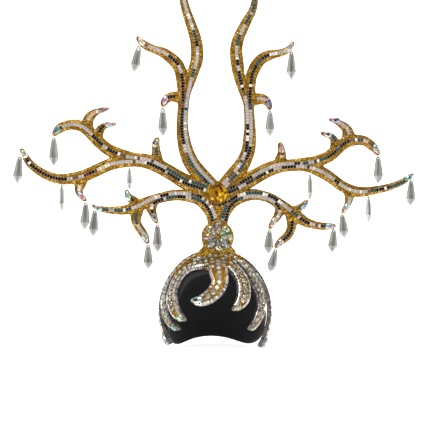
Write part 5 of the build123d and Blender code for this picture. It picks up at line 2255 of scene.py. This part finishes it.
@dataclass
class PlateRim:
    """The chain along the crown plate's edge, in the crotches between the tendrils."""

    pitch: float = 2.9
    wide: float = 4.2
    # Rows as inset, rise, lean and brightness; the outward-leaning side row is painted darker as painted
    # shade.
    rows: tuple[tuple[float, float, float, float], ...] = ((1.7, 6.2, 0.42, 1.0), (0.2, 2.9, 1.42, 0.4))

    def free(self, place: np.ndarray, tendrils: list[Tendril]) -> bool:
        """Whether no tendril leaves the plate at a place."""
        for tendril in tendrils:
            away = np.linalg.norm(tendril.spots + tendril.out * TENDRIL_DEPTH - place, axis=1)
            nearest = int(np.argmin(away))
            if away[nearest] < tendril.half[nearest] - 0.5:
                return False
        return True

    def build(self, chain: bpy.types.Material) -> None:
        """Sets the chain.

        Args:
            chain: Its material.
        """
        chance = random.Random(17)
        link = model_tile(1.0, 1.5, 0.22)
        link.points[:, :2] *= [self.wide, self.pitch * 0.9]
        tendrils = [Tendril(name) for name in TENDRIL_LINES]
        places, tints = [], []
        for inset, rise, lean, light in self.rows:
            radius = PLATE_RADIUS - inset
            count = int(2 * math.pi * radius / self.pitch)
            for number in range(count):
                turn = 2 * math.pi * number / count
                away = np.array([math.cos(turn), math.sin(turn), 0.0])
                x, y = radius * away[0], radius * away[1] - PLATE_FORWARD
                half = np.array(HEAD_HALF) + LINER_WALL + TENDRIL_GAP + rise
                z = half[2] * math.sqrt(1 - (x / half[0]) ** 2 - (y / half[1]) ** 2)
                out = unit(np.array([x, y, z]) / half**2)
                place = np.array([x, y, z - HEAD_HALF[2]])
                if self.free(place, tendrils):
                    side = unit(away - out * float(away @ out))
                    leaning = unit(out * math.cos(lean) + side * math.sin(lean))
                    run = unit(np.cross(leaning, side))
                    places.append(framed(place, np.cross(run, leaning), run, leaning))
                    tint = varied(chance, chance.choice(CREAM_TINTS), 0.15)
                    # The row's brightness scales its tints: the side row is painted darker as painted shade.
                    tints.append([tuple(light * channel for channel in tint)])
        rim = link.set_at("plate_rim_chain", places, tints)
        dress(rim, chain)
        seat(rim, "silver_chain")


# Studio


@dataclass
class Studio:
    """Pale paper that sweeps up behind, soft light, and the camera at the picture's angle."""

    distance: float = 2.2
    azimuth: float = 5.0
    aim: float = 0.066
    lens: float = 113.7
    low_air: Colour = (0.08, 0.08, 0.08)
    high_air: Colour = (0.50, 0.50, 0.50)
    gap: float = 0.0005
    lamps: tuple[tuple[str, tuple[float, float, float], float, float], ...] = (
        ("high_front_lamp", (-0.15, -0.62, 1.0), 0.4, 6.5),
        ("top_lamp", (0.2, 0.1, 2.4), 1.4, 15.0),
        ("side_lamp", (1.9, -1.2, 0.7), 0.8, 4.5),
    )

    def paper(self, floor: float) -> None:
        """Lays the paper.

        Args:
            floor: Its height.
        """
        put_down()
        bpy.ops.mesh.primitive_plane_add(size=1, location=(0, 0, floor))
        paper = bpy.context.object
        paper.scale = (9.0, 6.0, 1.0)
        settle(paper, "studio_paper")
        bpy.ops.object.mode_set(mode="EDIT")
        bpy.ops.mesh.select_all(action="DESELECT")
        bpy.ops.object.mode_set(mode="OBJECT")
        for edge in paper.data.edges:
            edge.select = all(paper.data.vertices[v].co.y > 2.9 for v in edge.vertices)
        bpy.ops.object.mode_set(mode="EDIT")
        bpy.ops.mesh.select_mode(type="EDGE")
        bpy.ops.mesh.extrude_edges_move(TRANSFORM_OT_translate={"value": (0, 0, 4.5)})
        bpy.ops.object.mode_set(mode="OBJECT")
        finish_with(paper, "BEVEL", width=1.2, segments=12)
        pick_up(paper)
        bpy.ops.object.shade_smooth()
        dress(paper, StudioPaper().material())
        paper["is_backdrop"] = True

    def lamp(self, name: str, place: tuple[float, float, float], size: float, power: float) -> None:
        """Hangs one soft lamp that faces the headdress.

        Args:
            name: Its name.
            place: Where it hangs.
            size: Its side.
            power: Its watts.
        """
        put_down()
        bpy.ops.object.light_add(type="AREA", location=place)
        lamp = bpy.context.object
        lamp.name = name
        lamp.data.shape = "SQUARE"
        lamp.data.size = size
        lamp.data.energy = power
        lamp.rotation_euler = (Vector((0, 0, 0.1)) - Vector(place)).to_track_quat("-Z", "Y").to_euler()

    def air(self) -> bpy.types.World:
        """Makes the air bright above and dimmer below, as under a studio's ceiling.

        Returns:
            The world.
        """
        bench = Bench("studio_air", bpy.data.worlds)
        way = bench.node("ShaderNodeTexCoord", {}, {}, "Generated")
        height = bench.node("ShaderNodeMapRange", {}, {"Value": bench.part_way(way, "Z"), "From Min": -1.0})
        grey = bench.ramp(height, [(0.0, self.low_air), (1.0, self.high_air)])
        glow = bench.node("ShaderNodeBackground", {}, {"Color": grey})
        bench.node("ShaderNodeOutputWorld", {}, {"Surface": glow})
        return bench.made

    def camera(self) -> None:
        """Sets up the camera."""
        turn = math.radians(self.azimuth)
        place = Vector((-self.distance * math.sin(turn), -self.distance * math.cos(turn), self.aim))
        put_down()
        bpy.ops.object.camera_add(location=place)
        camera = bpy.context.object
        camera.name = "picture_camera"
        camera.data.lens = self.lens
        camera.data.sensor_width = 36.0
        aim = Vector((0, 0, self.aim)) - place
        camera.rotation_euler = aim.to_track_quat("-Z", "Y").to_euler()
        bpy.context.scene.camera = camera

    def build(self, floor: float) -> None:
        """Builds the studio.

        Args:
            floor: The height on which the headdress stands.
        """
        bpy.context.scene.world = self.air()
        bpy.context.scene.view_settings.view_transform = "Standard"
        self.paper(floor - self.gap)
        for name, place, size, power in self.lamps:
            self.lamp(name, place, size, power)
        self.camera()


# The headdress


def dress_nodes(nodes: dict[str, bpy.types.Object], word: str, material: bpy.types.Material) -> None:
    """Gives every node whose name has a word in it a material.

    Args:
        nodes: The nodes.
        word: The word.
        material: The material.
    """
    for name, node in nodes.items():
        if word in name:
            dress(node, material)
            log.info("%s: %s", name, material.name)


def corners() -> list[list[float]]:
    """The shown box's lowest and highest corners as plain numbers."""
    return [[float(value) for value in corner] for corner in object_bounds()]


def main() -> None:
    """Builds the headdress piece by piece, then the studio."""
    logging.basicConfig(level=logging.INFO, format="%(name)s %(message)s")
    cad_box = corners()
    foam = GlitterFoam().material()
    dark = DarkFoam().material()
    glass = MirrorTile().material()
    foil = FoiledStone().material()
    amber = FoiledStone(
        "amber_stone", metal=0.10, gloss=0.02, shift=0.1, shine=0.10,
        warm=(1.0, 0.75, 0.2), cool=(0.8, 0.6, 0.05),
    ).material()
    chain = SilverChain().material()

    for side in Side:
        arms = tuple(arm for arm in ARMS if arm.side is side)
        for arm in arms:
            arm.build(foam)
        TileStrips(side, arms).build(glass)
        TipStones(side, arms).build(foil)
    HubStone().build(amber)
    knob = Knob()
    knob.build(foam)
    knob.set_stones(foil)
    Flower().build(foil)

    LinerCap().build(KnitCloth().material())
    for group in TENDRIL_GROUPS:
        group.build(foam, dark, chain, foil)
    PlateRim().build(chain)

    dress_nodes(frame["nodes"], "crown_plate", foam)
    dress_nodes(frame["nodes"], "_drop_", CutCrystal().material())
    dress_nodes(frame["nodes"], "jump_rings", GiltWire().material())

    Studio().build(cad_box[0][2])
    put_down()


if __name__ == "__main__":
    main()
